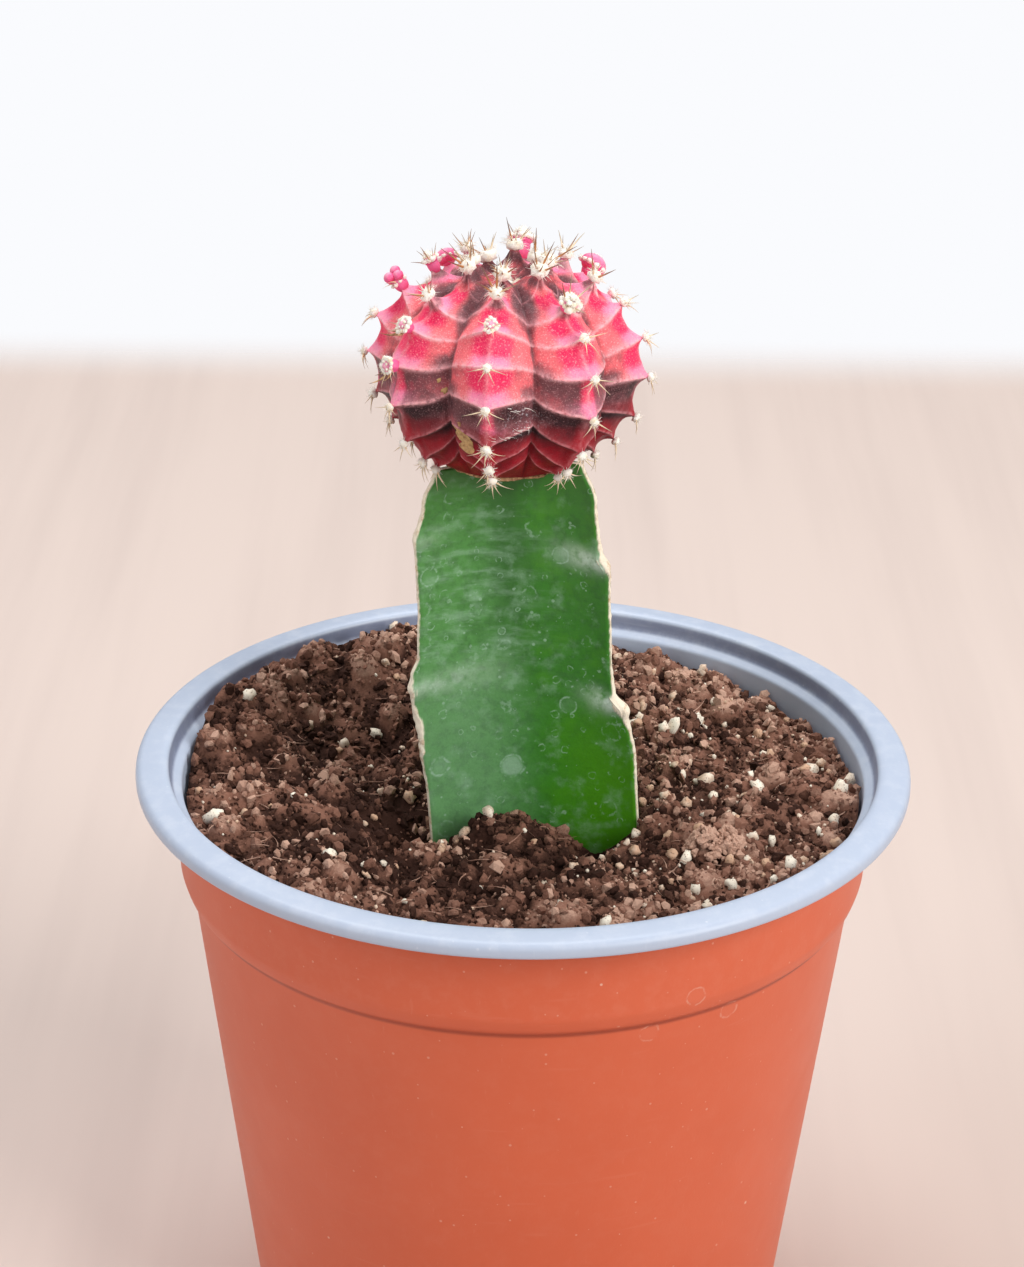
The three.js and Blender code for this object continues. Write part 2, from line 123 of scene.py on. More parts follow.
def polar(radius: float, degrees: float, height: float = 0.0) -> Vector:
    """A point at a distance and an angle round the upright axis, measured from the front."""
    angle = math.radians(degrees)
    return Vector((radius * math.sin(angle), -radius * math.cos(angle), height))


class Graph:
    """The nodes of one material or node group, added and joined as they are asked for."""

    def __init__(self, tree: bpy.types.NodeTree) -> None:
        """Starts on a node tree."""
        self.tree = tree

    def plug(self, socket: Socket, value: Any) -> None:
        """Joins an output to an input socket, or sets the input to a constant.

        Args:
            socket: The input.
            value: The output or the constant.
        """
        if isinstance(value, Socket):
            self.tree.links.new(value, socket)
        else:
            socket.default_value = value

    def feed(self, node: bpy.types.Node, inputs: Inputs) -> None:
        """Gives a node's inputs, by name or number, an output or a constant each."""
        for key, value in inputs.items():
            self.plug(node.inputs[key], value)

    def add(self, kind: str, inputs: Inputs | None = None, **settings: Any) -> bpy.types.Node:
        """Adds a node.

        Args:
            kind: The node's type without its ShaderNode prefix.
            inputs: Constants or outputs for its input sockets, by name or number.
            **settings: The node's own properties.

        Returns:
            The new node.
        """
        node = self.tree.nodes.new("ShaderNode" + kind)
        for name, value in settings.items():
            setattr(node, name, value)
        self.feed(node, inputs or {})
        return node

    def maths(self, operation: str, first: Any, *others: Any) -> Socket:
        """A value joined with each of the others in turn by one operation, or changed by it alone.

        Args:
            operation: The operation's name.
            first: The value.
            *others: The others, if there are any.

        Returns:
            The result.
        """
        total = first
        for other in others or (0.0,):
            total = self.add("Math", {0: total, 1: other}, operation=operation).outputs[0]
        return total

    def times(self, *values: Any) -> Socket:
        """The values multiplied together."""
        return self.maths("MULTIPLY", *values)

    def plus(self, *values: Any) -> Socket:
        """The values added together."""
        return self.maths("ADD", *values)

    def minus(self, first: Any, second: Any) -> Socket:
        """The first value less the second."""
        return self.maths("SUBTRACT", first, second)

    def over(self, first: Any, second: Any) -> Socket:
        """The first value divided by the second."""
        return self.maths("DIVIDE", first, second)

    def most(self, *values: Any) -> Socket:
        """The largest of the values."""
        return self.maths("MAXIMUM", *values)

    def mix(self, factor: Any, first: Any, second: Any) -> Socket:
        """Two colours mixed, the second one showing where the factor is 1."""
        return self.add("Mix", {0: factor, 6: first, 7: second}, data_type="RGBA").outputs[2]

    def coats(self, colour: Any, *coats: tuple[Any, Colour | Socket]) -> Socket:
        """A colour under coats of others, each given with the mask of where it shows.

        Args:
            colour: The lowest colour.
            *coats: The masks and colours, in the order that they are laid on.

        Returns:
            The colour that shows.
        """
        for mask, coat in coats:
            colour = self.mix(mask, colour, coat)
        return colour

    def ease(self, value: Any, low: float, high: float, peak: float = 1.0) -> Socket:
        """An eased value, 0 where the given one is at low and the peak where it is at high."""
        inputs = {"Value": value, "From Min": low, "From Max": high, "To Min": 0.0, "To Max": peak}
        return self.add("MapRange", inputs, interpolation_type="SMOOTHSTEP").outputs[0]

    def attribute(self, name: str) -> Socket:
        """The value that the mesh carries under a name."""
        return self.add("Attribute", attribute_name=name).outputs["Fac"]

    def position(self, stretch: tuple[float, float, float] = (1.0, 1.0, 1.0)) -> Socket:
        """The place on the object in millimetres, each axis multiplied by its stretch.

        Args:
            stretch: What X, Y and Z are multiplied by.

        Returns:
            The place.
        """
        place = self.add("TexCoord").outputs["Object"]
        scale = tuple(value / MM for value in stretch)
        return self.add("VectorMath", {0: place, 1: scale}, operation="MULTIPLY").outputs[0]

    def part(self, vector: Socket, axis: int) -> Socket:
        """One of a vector's values, by its axis: 0 for X, 1 for Y and 2 for Z."""
        return self.add("SeparateXYZ", {0: vector}).outputs[axis]

    def outwards(self) -> Socket:
        """The distance from the object's upright axis, in millimetres."""
        flat = self.position((1.0, 1.0, 0.0))
        return self.add("VectorMath", {0: flat}, operation="LENGTH").outputs["Value"]

    def scale(self, spacing: Any) -> Any:
        """A texture's scale for a spacing, which is a number or an output."""
        return self.over(1.0, spacing) if isinstance(spacing, Socket) else 1 / spacing

    def noise(self, place: Any, spacing: Any, detail: Any = 3.0, roughness: float = 0.55) -> Socket:
        """Soft noise about 0.5 whose patches are about a spacing apart."""
        inputs = {"Vector": place, "Scale": self.scale(spacing), "Detail": detail, "Roughness": roughness}
        return self.add("TexNoise", inputs).outputs[0]

    def cells(self, place: Any, spacing: Any) -> bpy.types.Node:
        """A node of scattered cells about a spacing apart."""
        return self.add("TexVoronoi", {"Vector": place, "Scale": self.scale(spacing)})

    def bump(self, height: Any, depth: float, beneath: Any = None) -> Socket:
        """A normal that a height from 0 to 1 tilts.

        Args:
            height: The height's output socket.
            depth: How deep the relief is, in millimetres.
            beneath: A normal that this relief lies on, if there is one.

        Returns:
            The tilted normal.
        """
        inputs = {"Height": height, "Distance": depth * MM, "Strength": 1.0}
        if beneath is not None:
            inputs["Normal"] = beneath
        return self.add("Bump", inputs).outputs["Normal"]

    def effect(self, group: bpy.types.NodeTree, **values: Any) -> Socket:
        """Places a shared effect with this material's own values and gives its output.

        Args:
            group: The effect.
            **values: Its inputs, by their names in small letters.

        Returns:
            Its mask.
        """
        node = self.add("Group", node_tree=group)
        self.feed(node, {name.capitalize(): value for name, value in values.items()})
        return node.outputs[0]


class Effects:
    """The effects that several finishes share, each a node group that is built once."""

    def __init__(self) -> None:
        """Builds every group."""
        self.specks = self._specks()
        self.dust = self._dust()
        self.water_mark = self._water_mark()
        self.splashes = self._splashes()

    @staticmethod
    def _group(name: str, **inputs: str) -> tuple[Graph, dict[str, Socket], bpy.types.Node]:
        """Starts a group that puts out one mask.

        Args:
            name: The group's name.
            **inputs: Socket types without their NodeSocket prefix, by the inputs' names in small letters.

        Returns:
            The group's graph, what it is given by name, and its output node.
        """
        tree = bpy.data.node_groups.new(name, "ShaderNodeTree")
        for label, kind in inputs.items():
            tree.interface.new_socket(label.capitalize(), in_out="INPUT", socket_type="NodeSocket" + kind)
        tree.interface.new_socket("Mask", in_out="OUTPUT", socket_type="NodeSocketFloat")
        entry = tree.nodes.new("NodeGroupInput")
        given = {label: entry.outputs[label.capitalize()] for label in inputs}
        return Graph(tree), given, tree.nodes.new("NodeGroupOutput")

    @staticmethod
    def _spots(
        graph: Graph, given: Mapping[str, Socket], place: Socket, least: float,
    ) -> tuple[Socket, Socket, Socket]:
        """Scattered spots, one in some of the cells.

        Args:
            graph: The group's graph.
            given: The group's spacing, size and share.
            place: The place on the object.
            least: The smallest spot's size, as a share of the given size.

        Returns:
            The distance from a cell's middle, whether that cell has a spot, and the spot's size.
        """
        cells = graph.cells(place, given["spacing"])
        chosen = graph.add("SeparateColor", {0: cells.outputs["Color"]})
        present = graph.maths("LESS_THAN", chosen.outputs[0], given["share"])
        size = graph.times(given["size"], graph.plus(chosen.outputs[1], least))
        return cells.outputs["Distance"], present, size

    @staticmethod
    def _ring(graph: Graph, reach: Socket, thin: float, wide: float) -> Socket:
        """A line where the reach is 1, full within thin of it and gone at wide."""
        line = graph.maths("ABSOLUTE", graph.minus(reach, 1.0))
        return graph.minus(1.0, graph.ease(line, thin, wide))

    def _specks(self) -> bpy.types.NodeTree:
        """Small round specks, one in some of the cells, with soft edges.

        Returns:
            The group.
        """
        graph, given, result = self._group("specks", spacing="Float", size="Float", share="Float")
        away, present, size = self._spots(graph, given, graph.position(), 0.35)
        disc = graph.minus(1.0, graph.ease(graph.over(away, size), 0.6, 1.1))
        graph.plug(result.inputs[0], graph.times(disc, present))
        return graph.tree

    def _dust(self) -> bpy.types.NodeTree:
        """Fine dust that gathers on what faces up.

        Returns:
            The group.
        """
        graph, given, result = self._group("dust", spacing="Float", amount="Float")
        facing_up = graph.part(graph.add("NewGeometry").outputs["Normal"], 2)
        cloud = graph.ease(graph.noise(graph.position(), given["spacing"], 5.0, 0.7), 0.42, 0.68)
        settled = graph.times(cloud, graph.ease(facing_up, -0.4, 0.9))
        graph.plug(result.inputs[0], graph.times(settled, given["amount"]))
        return graph.tree

    def _water_mark(self) -> bpy.types.NodeTree:
        """A dried drop: a thin uneven ring round a place, with a faint fill.

        Returns:
            The group.
        """
        graph, given, result = self._group("water_mark", place="Vector", radius="Float", fill="Float")
        place = graph.position()
        away = graph.add("VectorMath", {0: place, 1: given["place"]}, operation="DISTANCE")
        waver = graph.times(graph.minus(graph.noise(place, 1.6), 0.5), 0.55)
        reach = graph.plus(graph.over(away.outputs["Value"], given["radius"]), waver)
        ring = self._ring(graph, reach, 0.03, 0.16)
        broken = graph.times(ring, graph.ease(graph.noise(place, 1.1), 0.36, 0.6))
        inside = graph.minus(1.0, graph.ease(reach, 0.7, 1.05))
        graph.plug(result.inputs[0], graph.most(broken, graph.times(inside, given["fill"])))
        return graph.tree

    def _splashes(self) -> bpy.types.NodeTree:
        """Small dried drops all over: thin broken rings, one in some of the cells.

        Returns:
            The group.
        """
        graph, given, result = self._group("splashes", spacing="Float", size="Float", share="Float")
        place = graph.position()
        distance, present, size = self._spots(graph, given, place, 0.5)
        away = graph.times(distance, given["spacing"])
        waver = graph.times(graph.minus(graph.noise(place, 1.3, 4.0), 0.5), 1.7)
        ring = self._ring(graph, graph.plus(graph.over(away, size), waver), 0.04, 0.26)
        broken = graph.times(ring, graph.ease(graph.noise(place, 0.9), 0.42, 0.6))
        graph.plug(result.inputs[0], graph.times(broken, present))
        return graph.tree


@dataclass(frozen=True)
class Finish:
    """What every finish has: a name, its roughness and the effects that it draws on."""

    name: str
    roughness: float
    effects: Effects

    def material(self) -> bpy.types.Material:
        """The finish as a material.

        Returns:
            The new material.
        """
        made = bpy.data.materials.new(self.name)
        made.use_nodes = True
        graph = Graph(made.node_tree)
        looks = {"Roughness": self.roughness, **self.looks(graph)}
        graph.feed(made.node_tree.nodes["Principled BSDF"], looks)
        return made

    def looks(self, graph: Graph) -> dict[str, Any]:
        """The shader's inputs.

        Args:
            graph: The material's graph.

        Returns:
            An output or a constant for each input that the finish sets, by the input's name.
        """
        raise NotImplementedError


@dataclass(frozen=True)
class PaintedShade:
    """A band of painted shade: the heights under the rim where it comes in and where it goes out, and its
    colour.
    """

    comes: tuple[float, float]
    goes: tuple[float, float]
    colour: Colour


@dataclass(frozen=True)
class PotPlastic(Finish):
    """Thermoformed plastic: even colour, a satin sheen, faint waves, scuffs, specks and dried drops, with
    bands of painted shade.
    """

    colour: Colour
    deep: Colour
    pale: Colour
    rim: float
    painted_shade: tuple[PaintedShade, ...]
    # How far from the axis the painted shade reaches, and how soft that edge is
    shade_reach: float = 55.4
    shade_edge: float = 0.3
    scuffing: float = 0.3
    drops: tuple[tuple[float, float, float], ...] = ()
    drop_radius: float = 1.5

    def _shaded(self, graph: Graph, colour: Socket) -> Socket:
        """The colour with every band of painted shade laid over it.

        Args:
            graph: The material's graph.
            colour: The colour without painted shade.

        Returns:
            The colour with its painted shade.
        """
        up = graph.minus(graph.part(graph.position(), 2), self.rim)
        inner, outer = self.shade_reach - self.shade_edge, self.shade_reach + self.shade_edge
        within = graph.ease(graph.outwards(), outer, inner)
        # Painted shade: each band darkens the sheet where a crease, the lip or the inner groove would shade
        # it
        for painted_shade in self.painted_shade:
            band = graph.times(graph.ease(up, *painted_shade.comes), graph.ease(up, *reversed(painted_shade.goes)))
            colour = graph.mix(graph.times(band, within), colour, painted_shade.colour)
        return colour

    def _worn(self, graph: Graph) -> Socket:
        """Where scratches, specks, grit, dust and dried drops make the sheet paler.

        Args:
            graph: The material's graph.

        Returns:
            The mask.
        """
        along = graph.noise(graph.position((0.25, 0.25, 3.0)), 3.5, 4.0)
        upright = graph.noise(graph.position((2.2, 2.2, 0.3)), 1.3, 3.0)
        scratches = graph.times(graph.ease(along, 0.62, 0.72, self.scuffing), 0.35)
        scuffs = graph.times(graph.ease(upright, 0.66, 0.74, self.scuffing), 0.5)
        specks = graph.effect(self.effects.specks, spacing=5.0, size=0.055, share=0.4)
        grit = graph.effect(self.effects.specks, spacing=1.7, size=0.11, share=0.45)
        dust = graph.effect(self.effects.dust, spacing=3.0, amount=0.25)
        drops = [
            graph.effect(self.effects.water_mark, place=place, radius=self.drop_radius, fill=0.1)
            for place in self.drops
        ]
        spots = graph.times(graph.most(specks, graph.times(grit, 0.5)), 0.8)
        return graph.most(scratches, scuffs, spots, dust, *(graph.times(drop, 0.34) for drop in drops))

    def looks(self, graph: Graph) -> dict[str, Any]:
        """The shader's inputs, by name.

        Args:
            graph: The material's graph.

        Returns:
            The inputs.
        """
        broad = graph.ease(graph.noise(graph.position(), 26.0, 2.0, 0.6), 0.34, 0.66)
        colour = self._shaded(graph, graph.mix(graph.times(broad, 0.35), self.colour, self.deep))
        worn = self._worn(graph)
        waves = graph.bump(graph.noise(graph.position(), 14.0, 2.0), depth=0.25)
        return {
            "Base Color": graph.mix(worn, colour, self.pale),
            "Roughness": graph.plus(graph.times(worn, 0.35), self.roughness, graph.times(broad, 0.06)),
            "Normal": graph.bump(graph.noise(graph.position(), 0.45, 2.0), depth=0.012, beneath=waves),
        }


@dataclass(frozen=True)
class PeatMix(Finish):
    """Peat crumbs, from wet and nearly black to drier and lighter brown, fibrous and fully matte, darkened
    with painted shade in the gaps between clumps.
    """

    damp_and_shade: Colour
    middle: Colour
    dry: Colour

    def looks(self, graph: Graph) -> dict[str, Any]:
        """The shader's inputs, by name.

        Args:
            graph: The material's graph.

        Returns:
            The inputs.
        """
        fine = graph.noise(graph.position(), 0.45, 4.0, 0.7)
        patch = graph.noise(graph.position(), 9.0, 2.0)
        uneven = graph.minus(graph.plus(graph.times(fine, 0.5), graph.times(patch, 0.4)), 0.45)
        to_the_right = graph.ease(graph.part(graph.position(), 0), -30.0, 45.0, 0.17)
        to_the_rim = graph.ease(graph.outwards(), 26.0, 50.0, 0.22)
        # The tone carries painted shade that darkens the gaps between clumps
        dryness_and_shade = graph.plus(graph.attribute("tone"), graph.plus(to_the_right, to_the_rim), uneven)
        colour = graph.mix(graph.ease(dryness_and_shade, 0.05, 0.55), self.damp_and_shade, self.middle)
        fibres = graph.noise(graph.position((1.0, 1.0, 2.2)), 0.42, 5.0, 0.75)
        return {
            "Base Color": graph.mix(graph.ease(dryness_and_shade, 0.5, 1.05), colour, self.dry),
            "Normal": graph.bump(fibres, depth=0.22),
            "Specular IOR Level": 0.2,
        }


@dataclass(frozen=True)
class Perlite(Finish):
    """Puffed white grains with pores, stained tan in places by the mix."""

    white: Colour
    stained: Colour
    pores: Colour

    def looks(self, graph: Graph) -> dict[str, Any]:
        """The shader's inputs, by name.

        Args:
            graph: The material's graph.

        Returns:
            The inputs.
        """
        cloud = graph.minus(graph.noise(graph.position(), 1.1, 3.0), 0.5)
        stain = graph.ease(graph.plus(graph.attribute("tone"), cloud), 0.25, 0.95)
        pores = graph.ease(graph.cells(graph.position(), 0.42).outputs["Distance"], 0.3, 0.12)
        pitted = graph.times(pores, 0.55)
        return {
            "Base Color": graph.coats(self.white, (stain, self.stained), (pitted, self.pores)),
            "Normal": graph.bump(graph.minus(1.0, pores), depth=0.12),
        }


@dataclass(frozen=True)
class StemSkin(Finish):
    """Waxy green skin, darker down a face's hollow middle with painted shade and paler on one side, with
    corky wing edges.
    """

    green: Colour
    deep: Colour
    bright: Colour
    waxy: Colour
    bloom: Colour
    frost: Colour
    cork: Colour
    cork_brown: Colour
    drops: tuple[tuple[float, float, float, float, float], ...] = ()

    def _greens(self, graph: Graph, across: Socket, rise: Socket) -> Socket:
        """The skin's greens, with painted shade down the hollow middle of each face.

        Args:
            graph: The material's graph.
            across: How far across its face a place is.
            rise: How far up the stem it is.

        Returns:
            The colour.
        """
        place = graph.position()
        wax = graph.times(graph.ease(across, 0.62, 0.3, 0.92), graph.ease(rise, 1.1, 0.6))
        # Painted shade: a darker band down the hollow middle of each face
        middle = graph.times(graph.ease(across, 0.26, 0.44), graph.ease(across, 0.66, 0.48))
        tufts = graph.ease(graph.noise(place, 1.7, 4.0, 0.65), 0.42, 0.68, 0.42)
        flushed = graph.ease(graph.noise(place, 4.6, 3.0), 0.46, 0.7)
        blush = graph.times(flushed, graph.ease(across, 0.4, 0.7))
        foot = graph.times(graph.ease(rise, 0.32, 0.02), graph.ease(across, 0.5, 0.85))
        return graph.coats(
            self.green, (wax, self.waxy), (graph.times(middle, graph.ease(rise, 0.1, 0.75, 0.6)), self.deep),
            (tufts, self.deep), (graph.times(blush, 0.5), self.bright), (foot, self.bright),
        )

    def _bloomed(self, graph: Graph, colour: Socket, across: Socket, rise: Socket) -> Socket:
        """The colour under its pale bloom: chalk, streaks, patches, and frost by the wings' nodes.

        Args:
            graph: The material's graph.
            colour: The bare skin's colour.
            across: How far across its face a place is.
            rise: How far up the stem it is.

        Returns:
            The colour.
        """
        place = graph.position()
        chalk = graph.times(graph.ease(across, 0.66, 0.2), graph.ease(rise, 0.5, 0.12, 0.17))
        streaks = graph.ease(graph.noise(graph.position((0.26, 0.26, 1.0)), 1.6, 4.0, 0.6), 0.44, 0.74)
        banded = graph.times(graph.ease(rise, 0.05, 0.55), graph.ease(rise, 1.12, 0.66))
        fading = graph.times(graph.ease(across, 0.9, 0.3), banded)
        patches = graph.ease(graph.noise(place, 3.2, 5.0, 0.6), 0.5, 0.75, 0.28)
        frost = graph.times(graph.attribute("bloom"), graph.ease(graph.noise(place, 1.8, 4.0), 0.2, 0.6))
        return graph.coats(
            colour, (chalk, self.bloom), (graph.times(streaks, fading, 0.32), self.bloom),
            (patches, self.bloom), (frost, self.frost),
        )

    def _water_marks(self, graph: Graph) -> Socket:
        """Dried drops and specks: scattered ones all over, and the large ones in their places.

        Args:
            graph: The material's graph.

        Returns:
            The mask.
        """
        coarse = graph.effect(self.effects.specks, spacing=1.1, size=0.13, share=0.42)
        fine = graph.effect(self.effects.specks, spacing=2.6, size=0.1, share=0.6)
        rings = graph.effect(self.effects.splashes, spacing=4.2, size=0.9, share=0.5)
        small = graph.effect(self.effects.splashes, spacing=2.1, size=0.42, share=0.5)
        marks = graph.most(
            graph.times(graph.most(coarse, rings), 0.32), graph.times(graph.most(fine, small), 0.45),
        )
        for x, y, z, radius, fill in self.drops:
            ring = graph.effect(self.effects.water_mark, place=(x, y, z), radius=radius, fill=fill)
            marks = graph.most(marks, graph.times(ring, 0.55))
        return marks

    def looks(self, graph: Graph) -> dict[str, Any]:
        """The shader's inputs, by name.

        Args:
            graph: The material's graph.

        Returns:
            The inputs.
        """
        place = graph.position()
        rise, cork = graph.attribute("rise"), graph.attribute("cork")
        cloud = graph.noise(place, 7.0, 3.0)
        across = graph.plus(graph.attribute("share"), graph.times(graph.minus(cloud, 0.5), 0.28))
        marks = self._water_marks(graph)
        grain = graph.noise(place, 0.35, 3.0)
        browned = graph.ease(graph.noise(place, 1.3, 4.0, 0.7), 0.48, 0.76)
        skin = graph.bump(grain, depth=0.02, beneath=graph.bump(cloud, depth=0.3))
        crust = graph.times(cork, graph.noise(graph.position((1.0, 1.0, 0.5)), 0.5, 4.0, 0.7))
        return {
            "Base Color": graph.coats(
                self._bloomed(graph, self._greens(graph, across, rise), across, rise),
                (marks, self.bloom), (graph.ease(grain, 0.35, 0.75, 0.16), self.deep),
                (cork, graph.mix(browned, self.cork, self.cork_brown)),
            ),
            "Roughness": graph.plus(graph.times(cork, 0.32), self.roughness, graph.times(marks, 0.2)),
            "Normal": graph.bump(crust, depth=0.14, beneath=skin),
        }


@dataclass(frozen=True)
class HeadSkin(Finish):
    """The head's soft skin: coral flanks, hot pink crests, pale ridges with a painted highlight, dusky
    furrows and bands deepened with painted shade, a crimson foot.
    """

    coral: Colour
    hot: Colour
    blush: Colour
    crimson: Colour
    # Dusky colours that also stand in for painted shade in the furrows and under the ridges
    dusk_and_shade: Colour
    night_and_shade: Colour
    wine: Colour
    # Pale ridge colour, partly the skin's own, partly a painted highlight
    ridge: Colour
    papilla: Colour
    scab: Colour
    scab_brown: Colour
    dust_grey: Colour

    def looks(self, graph: Graph) -> dict[str, Any]:
        """The shader's inputs, by name.

        Args:
            graph: The material's graph.

        Returns:
            The inputs.
        """
        place = graph.position()
        cloud = graph.minus(graph.noise(place, 3.4, 3.0), 0.5)
        fine = graph.minus(graph.noise(place, 0.9, 4.0, 0.65), 0.5)
        waver = graph.plus(graph.times(cloud, 0.7), graph.times(fine, 0.45))
        blush, glow, foot, shade = (
            graph.plus(graph.attribute(name), waver) for name in ("blush", "glow", "low", "dusk_and_shade")
        )
        low = graph.ease(foot, 0.25, 0.7)
        dusky = graph.ease(shade, 0.2, 0.85)
        # Ridges and keels: paler skin with a painted highlight
        ridge = graph.times(graph.attribute("ridge"), graph.ease(graph.noise(place, 0.7, 3.0), 0.2, 0.6))
        clean = graph.minus(1.0, graph.times(graph.attribute("low"), 0.9))
        grain = graph.noise(place, 0.23, 2.0)
        faint = graph.minus(1.0, graph.times(dusky, 0.55))
        papillae = graph.times(graph.ease(grain, 0.52, 0.74, 0.5), graph.times(clean, faint))
        dust = graph.times(graph.effect(self.effects.dust, spacing=1.6, amount=0.1), clean)
        powder = graph.times(graph.attribute("powder"), graph.ease(graph.noise(place, 0.4, 3.0), 0.56, 0.66))
        scar = graph.ease(graph.plus(graph.attribute("scab"), graph.times(fine, 0.7)), 0.42, 0.56)
        browned = graph.ease(graph.noise(place, 0.6, 4.0), 0.4, 0.7)
        wrinkles = graph.bump(graph.noise(graph.position((1.0, 1.0, 0.6)), 1.5, 4.0), depth=0.16)
        flake = graph.times(scar, graph.noise(place, 0.5, 4.0, 0.7))
        return {
            "Base Color": graph.coats(
                self.coral,
                (graph.ease(blush, 0.2, 0.9), self.blush),
                (graph.ease(glow, 0.12, 0.75), self.hot),
                # Bands of painted shade: the dark line in the crease under the collar, the shadow under the
                # lip, and the dark groove inside below the rim
                (low, self.crimson),
                # Painted shade over the skin's own dusky colour, in the furrows and under each ridge,
                # darkest where the mark is strongest
                (dusky, graph.mix(low, self.dusk_and_shade, self.wine)),
                (graph.ease(shade, 0.75, 1.25), self.night_and_shade),
                (graph.times(ridge, 0.9), self.ridge),
                (papillae, self.papilla),
                (graph.ease(grain, 0.46, 0.26, 0.3), self.dusk_and_shade),
                (graph.times(graph.most(dust, powder), 0.8), self.dust_grey),
                (scar, graph.mix(browned, self.scab, self.scab_brown)),
            ),
            "Roughness": graph.plus(self.roughness, graph.times(fine, 0.25)),
            "Normal": graph.bump(flake, depth=0.25, beneath=graph.bump(grain, depth=0.05, beneath=wrinkles)),
            "Specular IOR Level": 0.22,
            "Subsurface Weight": 0.12,
            "Subsurface Radius": (1.0, 0.25, 0.2),
            "Subsurface Scale": 1.5 * MM,
        }


@dataclass(frozen=True)
class Wool(Finish):
    """Areole wool: cream, a little yellowed, soft and matte."""

    cream: Colour
    yellowed: Colour

    def looks(self, graph: Graph) -> dict[str, Any]:
        """The shader's inputs, by name.

        Args:
            graph: The material's graph.

        Returns:
            The inputs.
        """
        tuft = graph.ease(graph.noise(graph.position(), 0.7, 3.0), 0.38, 0.72)
        aged = graph.times(tuft, graph.attribute("tone"))
        return {
            "Base Color": graph.mix(aged, self.cream, self.yellowed),
            "Normal": graph.bump(graph.noise(graph.position(), 0.16, 3.0), depth=0.1),
            "Sheen Weight": 0.3,
            "Sheen Roughness": 0.6,
        }


@dataclass(frozen=True)
class SpineHorn(Finish):
    """Spines: horny, cream with a darker tip, and amber to brown on the young crown."""

    root: Colour
    straw: Colour
    tip: Colour
    amber: Colour

    def looks(self, graph: Graph) -> dict[str, Any]:
        """The shader's inputs, by name.

        Args:
            graph: The material's graph.

        Returns:
            The inputs.
        """
        along, tone = graph.attribute("along"), graph.attribute("tone")
        ripe = graph.times(graph.ease(along, 0.2, 0.8), tone)
        colour = graph.coats(
            self.root, (graph.ease(along, 0.0, 0.4), self.straw), (graph.ease(tone, 0.55, 0.8), self.amber),
            (ripe, self.tip),
        )
        bands = graph.noise(graph.position(), 0.35, 2.0)
        return {"Base Color": colour, "Normal": graph.bump(bands, depth=0.02)}


@dataclass(frozen=True)
class BudSkin(Finish):
    """Young offset skin: bright pink, paler at the top, with a fine bloom."""

    pink: Colour
    pale: Colour
    deep: Colour

    def looks(self, graph: Graph) -> dict[str, Any]:
        """The shader's inputs, by name.

        Args:
            graph: The material's graph.

        Returns:
            The inputs.
        """
        along = graph.attribute("along")
        topped = graph.times(graph.ease(along, 0.5, 1.0), graph.noise(graph.position(), 0.8, 3.0))
        lower = graph.ease(along, 0.45, 0.0)
        return {
            "Base Color": graph.coats(self.pink, (lower, self.deep), (topped, self.pale)),
            "Normal": graph.bump(graph.noise(graph.position(), 0.3, 3.0), depth=0.05),
            "Subsurface Weight": 0.15,
            "Subsurface Radius": (1.0, 0.3, 0.3),
            "Subsurface Scale": 0.8 * MM,
        }


@dataclass(frozen=True)
class DryCrust(Finish):
    """Dried tissue: the callus round the graft and withered flower remains."""

    tan: Colour
    brown: Colour

    def looks(self, graph: Graph) -> dict[str, Any]:
        """The shader's inputs, by name.

        Args:
            graph: The material's graph.

        Returns:
            The inputs.
        """
        patches = graph.ease(graph.noise(graph.position(), 1.2, 4.0, 0.7), 0.36, 0.66)
        flakes = graph.noise(graph.position(), 0.5, 4.0)
        colour = graph.mix(patches, self.tan, self.brown)
        return {"Base Color": colour, "Normal": graph.bump(flakes, depth=0.2)}


